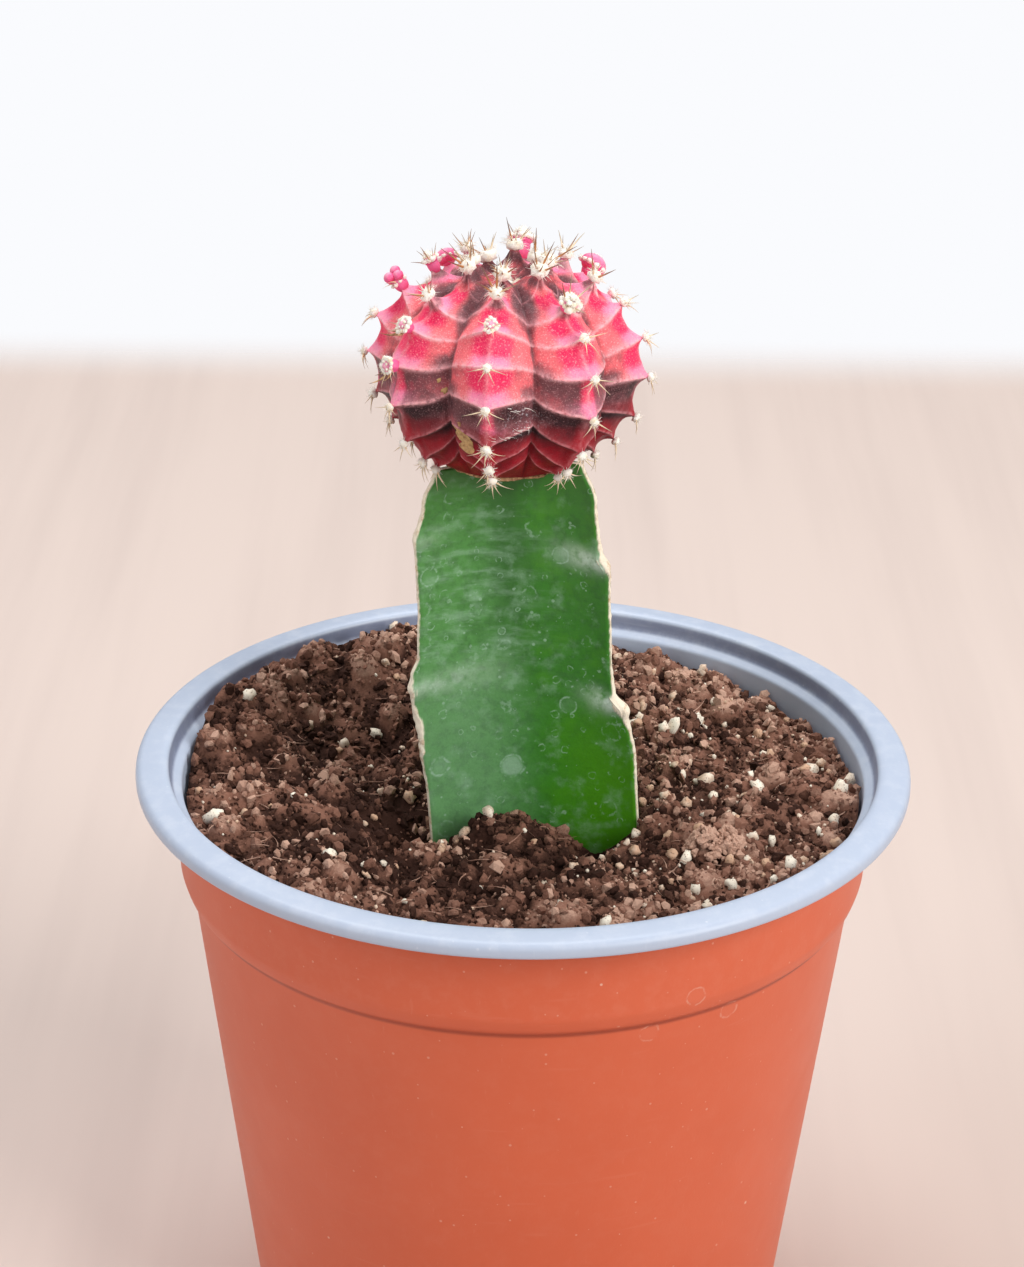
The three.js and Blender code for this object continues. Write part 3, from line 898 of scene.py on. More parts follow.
class Workpiece:
    """A piece on the bench, in millimetres until it is finished."""

    def __init__(self, name: str, *layers: str) -> None:
        """Starts an empty mesh under the piece's name, with a layer for each named value of its vertices.

        Args:
            name: The piece's name.
            *layers: The values' names.
        """
        self.name = name
        self.mesh = bmesh.new()
        for layer in layers:
            self.layer(layer)

    def layer(self, name: str) -> bmesh.types.BMLayerItem:
        """The layer that holds one value for each vertex under a name, made at its first use."""
        layers = self.mesh.verts.layers.float
        return layers.get(name) or layers.new(name)

    def wrap(self, columns: int, rows: int, place: Callable[[int, int], tuple[Vector, Marks]]) -> None:
        """Lays a sheet of quads round a form and closes its seam and poles.

        Args:
            columns: How many quads go round.
            rows: How many quads go up.
            place: Gives the point for a column and a row, and the values that its vertex carries.
        """
        layers = {name: self.layer(name) for name in place(0, 0)[1]}
        sheet = bmesh.ops.create_grid(self.mesh, x_segments=columns, y_segments=rows, size=1)["verts"]
        for vertex in sheet:
            column = round((vertex.co.x + 1) / 2 * columns)
            row = round((vertex.co.y + 1) / 2 * rows)
            vertex.co, marks = place(column, row)
            for name, value in marks.items():
                vertex[layers[name]] = value
        bmesh.ops.remove_doubles(self.mesh, verts=sheet, dist=MM)
        bmesh.ops.recalc_face_normals(self.mesh, faces=self.mesh.faces)

    def stamp(self, pattern: bpy.types.Mesh, place: Matrix, **marks: float) -> None:
        """Adds a copy of a pattern.

        Args:
            pattern: The mesh to copy, with an attribute for each mark.
            place: The matrix that takes the pattern to its place.
            **marks: Values that all the copy's vertices carry.
        """
        for name, value in marks.items():
            pattern.attributes[name].data.foreach_set("value", [value] * len(pattern.vertices))
        pattern.transform(place)
        self.mesh.from_mesh(pattern)
        pattern.transform(place.inverted())

    def pattern(self) -> bpy.types.Mesh:
        """The work so far as a mesh for stamping, which ends the work.

        Returns:
            The mesh.
        """
        made = bpy.data.meshes.new(self.name)
        self.mesh.to_mesh(made)
        self.mesh.free()
        return made

    def finish(
        self, materials: Sequence[bpy.types.Material], slot: Slot, node: str, smooth: bool = True,
    ) -> None:
        """Turns the work into one object in metres that stands for a node of the model.

        Args:
            materials: The piece's materials, in the order of its faces' numbers.
            slot: The record's slot that the finish belongs to; not used.
            node: The node of the model that the piece stands for.
            smooth: Whether its faces shade smoothly into each other.
        """
        bmesh.ops.scale(self.mesh, vec=(MM, MM, MM), verts=self.mesh.verts)
        for face in self.mesh.faces:
            face.smooth = smooth
        shape = self.pattern()
        for material in materials:
            shape.materials.append(material)
        piece = bpy.data.objects.new(self.name, shape)
        bpy.context.scene.collection.objects.link(piece)
        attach(piece, "root")
        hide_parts(node)
        triangles = sum(len(face.vertices) - 2 for face in shape.polygons)
        LOG.info("%s stands for %s, %d triangles", self.name, node, triangles)


def turned(dice: random.Random) -> Matrix:
    """A turn to any side."""
    angles = [dice.uniform(0, 2 * math.pi) for _ in range(3)]
    return Euler(angles).to_matrix().to_4x4()


def facing(out: Vector, side: Vector) -> Matrix:
    """The turn that takes +Z to out and +X as near to side as it can."""
    across = (side - side.project(out)).normalized()
    return Matrix((across, out.cross(across), out)).transposed().to_4x4()


def seated(spot: Vector, turn: Matrix, size: float) -> Matrix:
    """The matrix that sizes a pattern, turns it and moves it to its spot."""
    return Matrix.Translation(spot) @ turn @ Matrix.Scale(size, 4)


def lump_pattern(name: str, subdivisions: int, jitter: float, squash: Vector, seed: int) -> bpy.types.Mesh:
    """An irregular lump of about unit radius.

    Args:
        name: The pattern's name.
        subdivisions: How fine the sphere is that it starts from.
        jitter: How far its surface goes in and out.
        squash: Its size along each axis.
        seed: The seed of its own unevenness.

    Returns:
        The mesh, with a tone value.
    """
    lump = Workpiece(name, "tone")
    bmesh.ops.create_icosphere(lump.mesh, subdivisions=subdivisions, radius=1)
    own_place = Vector((seed * 7.3, seed * 3.1, 0))
    for vertex in lump.mesh.verts:
        vertex.co *= 1 + jitter * noise.noise(vertex.co * 1.7 + own_place)
    bmesh.ops.scale(lump.mesh, vec=squash, verts=lump.mesh.verts)
    return lump.pattern()


def horn_pattern(name: str, radius: float, bend: float, sides: int, steps: int) -> bpy.types.Mesh:
    """A slim curved cone of unit length that stands on the origin and bends towards +X.

    Args:
        name: The pattern's name.
        radius: Its radius at the root, for a unit of length.
        bend: How far its tip is carried to the side.
        sides: How many sides it has.
        steps: How many stretches it is bent in.

    Returns:
        The mesh, with the share of its length as one value and a tone as another.
    """
    horn = Workpiece(name, "along", "tone")
    along = horn.layer("along")
    bmesh.ops.create_cone(
        horn.mesh, cap_ends=True, segments=sides, radius1=radius, radius2=0.12 * radius, depth=1,
        matrix=Matrix.Translation((0, 0, 0.5)),
    )
    long_edges = [edge for edge in horn.mesh.edges if abs(edge.verts[0].co.z - edge.verts[1].co.z) > 0.5]
    bmesh.ops.subdivide_edges(horn.mesh, edges=long_edges, cuts=steps - 1)
    sinking = 0.45 * max(bend, 0.0) ** 2
    for vertex in horn.mesh.verts:
        share = vertex.co.z
        vertex[along] = share
        vertex.co.x += bend * share * share
        vertex.co.z -= sinking * share * share
    return horn.pattern()


@dataclass
class NurseryPot:
    """The pot: one sheet with a raised floor, a foot ring, a tapered wall, a collar and a turned lip."""

    height: float
    rim_radius: float
    outside: PotPlastic
    inside: PotPlastic
    inner_radius: float = 54.8
    lip_depth: float = 2.6
    sheet: float = 0.9
    collar_radius: float = 53.8
    collar_depth: float = 20.0
    body_radius: float = 51.8
    foot_radius: float = 41.8
    foot_width: float = 3.0
    recess: float = 2.6
    drain_holes: int = 8
    drain_circle: float = 30.0
    drain_radius: float = 3.0
    floor_margin: float = 6.0
    corner_reach: float = 0.28
    steps: int = 192
    hole_steps: int = 24

    @property
    def step(self) -> float:
        """Height of the crease where the wall widens into the collar."""
        return self.height - self.collar_depth

    def wall_inside(self, height: float) -> float:
        """Inside radius of the tapered wall at a height."""
        return lerp(self.foot_radius, self.body_radius, height / self.step) - self.sheet

    def _outside(self) -> Profile:
        """The terracotta side's profile, from the floor's underside to the lip's lower edge.

        Returns:
            Its radii and heights.
        """
        top = self.height
        neck = self.inner_radius + self.sheet
        return [
            (self.drain_circle + self.floor_margin, self.recess),
            (self.foot_radius - self.foot_width - 0.8, self.recess),
            (self.foot_radius - self.foot_width, 0),
            (self.foot_radius - 0.4, 0),
            (self.foot_radius, 0.8),
            (self.body_radius, self.step),
            (self.collar_radius - 0.8, self.step + 1.4),
            (self.collar_radius - 0.2, self.step + 3.4),
            (self.collar_radius, top - 4),
            (neck, top - 3.1),
            (neck, top - self.sheet - 0.1),
            (self.rim_radius - self.sheet - 0.5, top - self.sheet - 0.3),
            (self.rim_radius - self.sheet, top - self.lip_depth),
        ]

    def _inside(self) -> Profile:
        """The grey side's profile, from the lip's lower edge over the rim and down to the floor.

        Returns:
            Its radii and heights.
        """
        top = self.height
        floor = self.recess + self.sheet
        collar = self.collar_radius - self.sheet
        return [
            (self.rim_radius - self.sheet, top - self.lip_depth),
            (self.rim_radius, top - self.lip_depth),
            (self.rim_radius, top - 1.1),
            (self.rim_radius - 0.7, top - 0.35),
            (self.inner_radius + 1.2, top),
            (self.inner_radius + 0.3, top - 0.2),
            (self.inner_radius, top - 0.9),
            (self.inner_radius - 0.2, top - 2.7),
            (collar, top - 3.6),
            (collar - 0.2, self.step + 3),
            (collar - 0.8, self.step + 1.2),
            (self.body_radius - self.sheet, self.step - 0.2),
            (self.wall_inside(floor), floor),
            (self.drain_circle + self.floor_margin, floor),
        ]

    def _rounded(self, points: Profile) -> Profile:
        """A profile with each of its corners cut twice into a short round, and its ends kept.

        Args:
            points: The profile's radii and heights.

        Returns:
            The rounded profile.
        """
        for _ in range(2):
            cut = [points[0]]
            for before, corner, after in zip(points, points[1:], points[2:]):
                for beside in (before, after):
                    share = min(0.25, self.corner_reach / math.dist(beside, corner))
                    cut.append((lerp(corner[0], beside[0], share), lerp(corner[1], beside[1], share)))
            points = [*cut, points[-1]]
        return points

    def _spin(self, pot: Workpiece, profile: Profile, finish: int) -> None:
        """Turns a profile round the pot's axis.

        Args:
            pot: The piece that the wall is added to.
            profile: The wall's radii and heights.
            finish: The number of its faces' material.
        """
        bare = set(pot.mesh.faces)
        line = [pot.mesh.verts.new((radius, 0, height)) for radius, height in profile]
        edges = [pot.mesh.edges.new(pair) for pair in zip(line, line[1:])]
        bmesh.ops.spin(
            pot.mesh, geom=[*line, *edges], cent=(0, 0, 0), axis=(0, 0, 1), angle=2 * math.pi,
            steps=self.steps, use_merge=True,
        )
        for face in set(pot.mesh.faces) - bare:
            face.material_index = finish

    def _drain(self, pot: Workpiece, index: int, level: float) -> list[bmesh.types.BMEdge]:
        """The edges of one drainage hole in one of the floor's sides.

        Args:
            pot: The piece that they are added to.
            index: The hole's number.
            level: The side's height.

        Returns:
            The hole's edges.
        """
        middle = polar(self.drain_circle, 360 / self.drain_holes * (index + 0.5), level)
        place = Matrix.Translation(middle)
        ring = bmesh.ops.create_circle(
            pot.mesh, segments=self.hole_steps, radius=self.drain_radius, matrix=place,
        )["verts"]
        return list({edge for vertex in ring for edge in vertex.link_edges})

    def _floor(self, pot: Workpiece) -> None:
        """Closes the floor's two sides round the drainage holes, and joins the sides in each hole.

        Args:
            pot: The piece, whose walls end at the floor.
        """
        holes: list[list[bmesh.types.BMEdge]] = []
        for finish, level in enumerate((self.recess, self.recess + self.sheet)):
            edges = [
                edge for edge in pot.mesh.edges
                if edge.is_boundary and abs(edge.verts[0].co.z - level) < self.sheet / 2
            ]
            for index in range(self.drain_holes):
                holes.append(self._drain(pot, index, level))
                edges.extend(holes[-1])
            filled = bmesh.ops.triangle_fill(pot.mesh, edges=edges, use_beauty=True)["geom"]
            for face in filled:
                if isinstance(face, bmesh.types.BMFace):
                    face.material_index = finish
        for index in range(self.drain_holes):
            bmesh.ops.bridge_loops(pot.mesh, edges=[*holes[index], *holes[index + self.drain_holes]])

    def build(self) -> None:
        """Makes the pot, terracotta outside and grey on its rim and inside."""
        pot = Workpiece("pot_shell")
        self._spin(pot, self._rounded(self._outside()), 0)
        self._spin(pot, self._rounded(self._inside()), 1)
        bmesh.ops.remove_doubles(pot.mesh, verts=pot.mesh.verts, dist=MM)
        self._floor(pot)
        bmesh.ops.recalc_face_normals(pot.mesh, faces=pot.mesh.faces)
        pot.finish([self.outside.material(), self.inside.material()], Slot.POT, "pot")


@dataclass(frozen=True)
class Wing:
    """One of the stem's wings, by heights above the rim plane.

    It has its angle, its edge's reach, its nodes' heights, the width of its corky margin, and the spread and
    strength of the frost by each node.
    """

    angle: float
    edge: Profile
    nodes: tuple[float, ...]
    margin: Profile
    frost: Profile


@dataclass
class Rootstock:
    """The three-winged green stem, with its waved corky edges, its buried end and its short roots."""

    rim_plane: float
    wings: tuple[Wing, ...]
    skin: StemSkin
    graft_rise: float = 49.0
    lean: float = 0.0754
    foot_x: float = 1.6
    foot_height: float = 95.0
    base_depth: float = 40.0
    straight_below: float = -3.0
    foot_reach: float = 18.9
    top_reach: float = 14.2
    edge_width: float = 1.3
    face_hollow: float = 3.0
    node_half_height: float = 1.3
    node_swell: float = 0.5
    edge_blend: float = 0.22
    face_stations: int = 46
    tip_stations: int = 12
    rows: int = 170
    buried_rows: int = 14
    cork_rise: float = 0.12
    cork_crust: float = 0.3
    cork_ragged: float = 0.16
    top_slant: float = 0.12
    slanted_from: float = 37.0
    root_count: int = 5
    root_length: float = 19.0
    root_circle: float = 3.0
    root_rise: float = 3.0
    root_heading: float = 20.0

    @property
    def top(self) -> float:
        """Height of the flat cut that carries the head."""
        return self.rim_plane + self.graft_rise

    @property
    def base(self) -> float:
        """Height of the buried cut."""
        return self.rim_plane - self.base_depth

    def axis_x(self, height: float) -> float:
        """Where the leaning stem's axis is at a height."""
        return self.foot_x - self.lean * (height - self.foot_height)

    def _swelling(self, wing: Wing, above: float) -> float:
        """How much a wing's edge swells at a height above the rim plane, by its nodes."""
        near = [math.exp(-(((above - node) / self.node_half_height) ** 2)) for node in wing.nodes]
        return self.node_swell * sum(near)

    def _tips(self, above: float, margin: float, waved: bool) -> list[tuple[Vector, float]]:
        """The wings' rounded tips at a height.

        Args:
            above: Height above the rim plane.
            margin: How far the outline is grown all round.
            waved: Whether the tips follow the wings' own edges, or those of an even stem.

        Returns:
            Each tip's middle and its radius.
        """
        mean = lerp(self.foot_reach, self.top_reach, above / self.graft_rise) + margin
        tips = []
        for wing in self.wings:
            reach, half = mean, self.edge_width / 2
            if waved:
                swelling = self._swelling(wing, above)
                reach = interpolate(wing.edge, above) + swelling + margin
                half *= 1 + swelling
            tips.append((polar(reach - half, wing.angle), half))
        return tips

    def section(self, height: float, margin: float = 0.0) -> list[tuple[Vector, Marks]]:
        """The stem's outline at a height.

        Args:
            height: The height, in millimetres.
            margin: How far the outline is grown all round.

        Returns:
            The points in order round the stem, each with the values that the skin's finish reads.
        """
        above = max(height - self.rim_plane, self.straight_below)
        waved = self._tips(above, margin, waved=True)
        straight = self._tips(above, margin, waved=False)
        points: list[tuple[Vector, Marks]] = []
        for index, wing in enumerate(self.wings):
            points += self._tip(wing, waved[index], above)
            points += self._face(index, waved, straight, above)
        shift = Vector((self.axis_x(height), 0, height))
        slant = self.top_slant * smoothstep(above, self.slanted_from, self.graft_rise)
        rises = [Vector((0, 0, slant * max(point.x, 0.0))) for point, _ in points]
        return [(point + shift + rise, marks) for (point, marks), rise in zip(points, rises)]

    def _marks(self, wing: Wing, above: float, share: float, cork: float, away: float) -> Marks:
        """The values that the skin's finish reads at a point.

        Args:
            wing: The nearest wing.
            above: The point's height above the rim plane.
            share: How far it is across its face, from 0 to 1.
            cork: How corky it is.
            away: Its distance from the wing's tip.

        Returns:
            The marks by name.
        """
        bloom = self._bloom(wing, above, away)
        return {"share": share, "rise": above / self.graft_rise, "cork": cork, "bloom": bloom}

    def _tip(self, wing: Wing, tip: tuple[Vector, float], above: float) -> list[tuple[Vector, Marks]]:
        """The round of a wing's tip, from one face to the next.

        Args:
            wing: The wing.
            tip: The round's middle and its radius.
            above: Height above the rim plane.

        Returns:
            Points with their marks.
        """
        middle, radius = tip
        out, along = polar(1, wing.angle), polar(1, wing.angle + 90)
        found = []
        for station in range(self.tip_stations):
            turn = math.pi * (station / self.tip_stations - 0.5)
            cork = self._cork(wing, above, radius * abs(turn))
            flaky = noise.noise(Vector((above * 0.9, station * 0.3, wing.angle)))
            crust = 1 + self.cork_crust * cork * flaky
            point = middle + (out * math.cos(turn) + along * math.sin(turn)) * radius * crust
            found.append((point, self._marks(wing, above, 1.0 if turn < 0 else 0.0, cork, 0.0)))
        return found

    def _face(
        self, index: int, waved: Sequence[tuple[Vector, float]], straight: Sequence[tuple[Vector, float]],
        above: float,
    ) -> list[tuple[Vector, Marks]]:
        """A hollow face from one wing's tip to the next one's.

        Args:
            index: The wing that the face starts at.
            waved: Tips that follow the wings' waved edges.
            straight: Tips of the even stem that the middle of a face follows.
            above: Height above the rim plane.

        Returns:
            Points with their marks.
        """
        following = (index + 1) % len(self.wings)
        first, last = self.wings[index], self.wings[following]
        first_along, last_along = polar(1, first.angle + 90), polar(1, last.angle + 90)
        inward = polar(-1, first.angle + 60)
        start = straight[index][0] + first_along * straight[index][1]
        end = straight[following][0] - last_along * straight[following][1]
        start_change = waved[index][0] + first_along * waved[index][1] - start
        end_change = waved[following][0] - last_along * waved[following][1] - end
        width = (end - start).length
        found = []
        for station in range(self.face_stations):
            share = 0.5 - 0.5 * math.cos(math.pi * station / self.face_stations)
            edge, change = (first, start_change) if share < 0.5 else (last, end_change)
            hollow = self.face_hollow * (1 - abs(2 * share - 1) ** 2.4)
            hold = max(0.0, 1 - min(share, 1 - share) / self.edge_blend) ** 2
            point = start.lerp(end, share) + inward * hollow + change * hold
            away = min(share, 1 - share) * width
            cork = self._cork(edge, above, away + self.edge_width * math.pi / 4)
            point -= inward * self.cork_rise * cork
            found.append((point, self._marks(edge, above, share, cork, away)))
        return found

    def _cork(self, wing: Wing, above: float, away: float) -> float:
        """How corky the skin is by a wing's edge.

        Args:
            wing: The wing.
            above: Height above the rim plane.
            away: Distance from the outermost line of the edge.

        Returns:
            A share from 0 to 1.
        """
        width = interpolate(wing.margin, above)
        ragged = self.cork_ragged * noise.noise(Vector((above * 1.3, wing.angle, away * 0.5)))
        return 1 - smoothstep(away - ragged, width - 0.12, width + 0.14)

    def _bloom(self, wing: Wing, above: float, away: float) -> float:
        """How much pale bloom lies on the skin near a wing's nodes.

        Args:
            wing: The wing.
            above: Height above the rim plane.
            away: Distance from the wing's tip.

        Returns:
            A share from 0 to 1.
        """
        total = 0.0
        for node, (spread, strength) in zip(wing.nodes, wing.frost):
            climb = 0.16 * away
            near = ((above - node - climb) / (1.4 + 0.12 * away)) ** 2 + (away / spread) ** 2
            total += strength * math.exp(-near)
        return min(total, 1.0)

    def reach_at(self, height: float) -> Callable[[float, float], bool]:
        """A test of whether a point lies in the stem.

        Args:
            height: The height that the section is taken at.

        Returns:
            A function of x and y.
        """
        outline = [point for point, _ in self.section(height)]
        corners = [(point.x, point.y) for point in outline[::3]]

        def inside(x: float, y: float) -> bool:
            """Whether a ray from the point to +X leaves the outline an odd number of times.

            Args:
                x: The point's X.
                y: The point's Y.

            Returns:
                Whether the point is inside.
            """
            hit = False
            for (x1, y1), (x2, y2) in zip(corners, [*corners[1:], corners[0]]):
                if (y1 > y) != (y2 > y) and x < x1 + (y - y1) / (y2 - y1) * (x2 - x1):
                    hit = not hit
            return hit

        return inside

    def _levels(self) -> list[tuple[float, float]]:
        """The height of each row and how far it is drawn in towards the axis, from the base to the top.

        Returns:
            The heights, each with its drawing in.
        """
        straight_to = self.rim_plane + self.straight_below
        levels = [(self.base, 1.0), (self.base, 0.0)]
        for row in range(1, self.buried_rows):
            levels.append((lerp(self.base, straight_to, row / self.buried_rows), 0.0))
        for row in range(self.rows + 1):
            levels.append((lerp(straight_to, self.top - 0.5, row / self.rows), 0.0))
        return [*levels, (self.top - 0.2, 0.012), (self.top, 0.035), (self.top, 0.4), (self.top, 1.0)]

    def _roots(self, stem: Workpiece) -> None:
        """Adds short tapered roots that droop from the cut base to the stem.

        Args:
            stem: The piece that they are added to.
        """
        pattern = horn_pattern("root_pattern", 0.055, 0.9, 8, 8)
        for index in range(self.root_count):
            heading = 360 / self.root_count * index + self.root_heading
            start = polar(self.root_circle, heading, self.base + self.root_rise)
            start.x += self.axis_x(self.base)
            turn = facing(polar(0.8, heading, -0.6).normalized(), Vector((0, 0, -1)))
            stem.stamp(pattern, seated(start, turn, self.root_length))

    def build(self) -> None:
        """Makes the stem."""
        stem = Workpiece("stem")
        levels = self._levels()
        rings = [self.section(height) for height, _ in levels]

        def place(column: int, row: int) -> tuple[Vector, Marks]:
            """The point and the marks at a column and a row.

            Args:
                column: The column.
                row: The row.

            Returns:
                The point and its marks.
            """
            point, marks = rings[row][column % len(rings[row])]
            height, drawn_in = levels[row]
            axis = Vector((self.axis_x(height), 0, height))
            return point.lerp(axis, drawn_in), marks

        stem.wrap(len(rings[0]), len(levels) - 1, place)
        self._roots(stem)
        stem.finish([self.skin.material()], Slot.STEM, "rootstock")


@dataclass(frozen=True)
class SoilForm:
    """A broad heap or hollow of the potting mix: its place, height and spread."""

    x: float
    y: float
    rise: float
    spread: float


@dataclass(frozen=True)
class Clump:
    """A crumbly clump in the surface: its place, radius and height."""

    x: float
    y: float
    radius: float
    rise: float


@dataclass(frozen=True)
class DryLump:
    """A lump of drier, lighter crumbs that hold together: its place, half width, half depth and height."""

    x: float
    y: float
    half_width: float
    half_depth: float
    rise: float
    crumbs: int


@dataclass
class PottingSoil:
    """The potting mix: an uneven bed with clumps, loose crumbs and fibres, and perlite grains."""

    pot: NurseryPot
    stem: Rootstock
    peat: PeatMix
    grit: Perlite
    forms: tuple[SoilForm, ...]
    grains: tuple[tuple[float, float, float, float], ...]
    lump: DryLump = DryLump(28.9, -20.8, 4.6, 2.7, 2.4, 320)
    level: float = 95.6
    edge_radius: float = 52.3
    clearance: float = 0.35
    crumb_wave: float = 0.6
    fine_relief: float = 0.8
    quads: int = 230
    clump_count: int = 620
    clump_radius: tuple[float, float] = (1.1, 3.3)
    clump_cell: float = 4.0
    crumb_seeds: range = range(14)
    crumb_count: int = 9000
    crumb_size: tuple[float, float] = (0.3, 0.85)
    fine_crumb_count: int = 9000
    fine_crumb_size: tuple[float, float] = (0.16, 0.22)
    fibre_count: int = 260
    fibre_length: tuple[float, float] = (1.6, 4.2)
    fibre_lift: float = 0.45
    grain_seeds: range = range(40, 49)
    speck_seed: int = 77
    loose_grains: int = 210
    fine_grains: int = 330
    sparse_side: float = 0.38
    sparse_until: float = 6.0
    seed: int = 11
    clumps: dict[tuple[int, int], list[Clump]] = field(default_factory=dict)

    def __post_init__(self) -> None:
        """Scatters the clumps, so that the bed and all that lies on it share them."""
        self.dice = random.Random(self.seed)
        self.in_stem = self.stem.reach_at(self.level)
        for _ in range(self.clump_count):
            x, y = self._spot(self.edge_radius)
            radius = lerp(*self.clump_radius, self.dice.random() ** 2)
            clump = Clump(x, y, radius, radius * self.dice.uniform(0.3, 0.75))
            self.clumps.setdefault(self._cell(x, y), []).append(clump)

    def _cell(self, x: float, y: float) -> tuple[int, int]:
        """The square of the clump table that a place is in."""
        return (math.floor(x / self.clump_cell), math.floor(y / self.clump_cell))

    def _spot(self, reach: float) -> tuple[float, float]:
        """A random place on the surface within a reach of the pot's axis.

        Args:
            reach: The reach.

        Returns:
            X and Y.
        """
        away = reach * math.sqrt(self.dice.random())
        spot = polar(away, self.dice.uniform(0, 360))
        return spot.x, spot.y

    def _clump_height(self, x: float, y: float) -> float:
        """How far the clumps lift the surface at a place.

        Args:
            x: The place's x.
            y: The place's y.

        Returns:
            The highest clump's height there, or 0.
        """
        column, row = self._cell(x, y)
        highest = 0.0
        for i in (column - 1, column, column + 1):
            for j in (row - 1, row, row + 1):
                for clump in self.clumps.get((i, j), ()):
                    near = 1 - ((x - clump.x) ** 2 + (y - clump.y) ** 2) / clump.radius**2
                    if near > 0:
                        highest = max(highest, clump.rise * math.sqrt(near))
        return highest

    def _relief(self, x: float, y: float) -> float:
        """How far the clumps and the fine unevenness lift the surface at a place."""
        fine = noise.fractal(Vector((x, y, 0)) / 3.2, 0.9, 2.1, 4)
        return self._clump_height(x, y) + self.fine_relief * fine

    def _dryness_and_shade(self, x: float, y: float) -> float:
        """How much lighter the mix is at a place: drier on its clumps, and darker in the gaps with painted
        shade.
        """
        return max(-0.4, min(0.4, 0.3 * (self._relief(x, y) - 0.75)))

    def height(self, x: float, y: float) -> float:
        """Height of the bed at a place: its level, the broad forms, the clumps and fine unevenness.

        Args:
            x: The place's x.
            y: The place's y.

        Returns:
            The height.
        """
        broad = 0.0
        for form in self.forms:
            broad += form.rise * math.exp(-(((x - form.x) ** 2 + (y - form.y) ** 2) / form.spread**2))
        wave = math.sin(0.42 * x + 1.3) * math.cos(0.37 * y) + 0.6 * math.sin(0.5 * y - 0.36 * x)
        return self.level + broad + self.crumb_wave * wave + self._relief(x, y)

    def _on_bed(self, x: float, y: float, above: float) -> Vector:
        """The point above a place of the bed."""
        return Vector((x, y, self.height(x, y) + above))

    def _sides(self) -> Profile:
        """The bed's side, from under its edge to its floor, as radii and heights that fit the pot.

        Returns:
            The radii and heights.
        """
        pot = self.pot
        floor = pot.recess + pot.sheet + self.clearance
        return [
            (pot.collar_radius - pot.sheet - 1.2, pot.step + 2.6),
            (pot.wall_inside(pot.step) - self.clearance, pot.step - 1),
            (pot.wall_inside(floor) - self.clearance, floor),
        ]

    def _bed(self, peat: bpy.types.Material) -> None:
        """Makes the bed: its surface, and its side and floor.

        Args:
            peat: The mix's material.
        """
        bed = Workpiece("soil_bed")
        tone = bed.layer("tone")
        surface = bmesh.ops.create_grid(bed.mesh, x_segments=self.quads, y_segments=self.quads, size=1)
        for vertex in surface["verts"]:
            a, b = vertex.co.x, vertex.co.y
            x = self.edge_radius * a * math.sqrt(1 - b * b / 2)
            y = self.edge_radius * b * math.sqrt(1 - a * a / 2)
            vertex.co = self._on_bed(x, y, 0.0)
            # The tone adds painted shade in the gaps between clumps
            vertex[tone] = 0.22 + 0.1 * noise.noise(Vector((x, y, 0)) / 7) + self._dryness_and_shade(x, y)
        loop = [edge for edge in bed.mesh.edges if edge.is_boundary]
        for radius, height in self._sides():
            grown = bmesh.ops.extrude_edge_only(bed.mesh, edges=loop)["geom"]
            loop = [item for item in grown if isinstance(item, bmesh.types.BMEdge)]
            for vertex in {vertex for edge in loop for vertex in edge.verts}:
                flat = Vector((vertex.co.x, vertex.co.y, 0)).normalized() * radius
                vertex.co = (flat.x, flat.y, height)
        base = bmesh.ops.edgeloop_fill(bed.mesh, edges=loop)["faces"]
        bmesh.ops.triangulate(bed.mesh, faces=base)
        bmesh.ops.recalc_face_normals(bed.mesh, faces=bed.mesh.faces)
        bed.finish([peat], Slot.MIX, "soil")

    def _lumps(
        self, name: str, seeds: range, fineness: int, jitter: float, flattest: float,
    ) -> list[bpy.types.Mesh]:
        """Patterns for crumbs or grains.

        Args:
            name: The patterns' name.
            seeds: A seed for each of them.
            fineness: How fine the spheres are that they start from.
            jitter: How far their surfaces go in and out.
            flattest: How flat the flattest one is.

        Returns:
            The patterns.
        """
        shapes = []
        for seed in seeds:
            squash = Vector((1, self.dice.uniform(0.65, 1), self.dice.uniform(flattest, 0.85)))
            shapes.append(lump_pattern(name, fineness, jitter, squash, seed))
        return shapes

    def _crumbs(self, peat: bpy.types.Material) -> None:
        """Makes the loose crumbs all over the bed, and the fibres among them.

        Args:
            peat: The mix's material.
        """
        crumbs = Workpiece("soil_crumbs", "tone", "along")
        shapes = self._lumps("crumb_pattern", self.crumb_seeds, 1, 0.75, 0.5)
        self._scatter(crumbs, shapes, self.crumb_count, self.crumb_size)
        self._dry_lump(crumbs, shapes)
        fines = Workpiece("soil_fines", "tone")
        self._scatter(fines, shapes, self.fine_crumb_count, self.fine_crumb_size)
        fines.finish([peat], Slot.MIX, "soil", smooth=False)
        self._fibres(crumbs)
        crumbs.finish([peat], Slot.MIX, "soil", smooth=False)

    def _fibres(self, crumbs: Workpiece) -> None:
        """Lays fibres among the crumbs.

        Args:
            crumbs: The piece that they are added to.
        """
        fibre = horn_pattern("fibre_pattern", 0.035, 0.35, 4, 3)
        for _ in range(self.fibre_count):
            x, y = self._spot(self.edge_radius - 2)
            if self.in_stem(x, y):
                continue
            lean = Euler((math.radians(self.dice.uniform(70, 100)), 0, self.dice.uniform(0, 2 * math.pi)))
            length = self.dice.uniform(*self.fibre_length)
            seat = self._on_bed(x, y, self.fibre_lift)
            crumbs.stamp(fibre, seated(seat, lean.to_matrix().to_4x4(), length), tone=0.7)

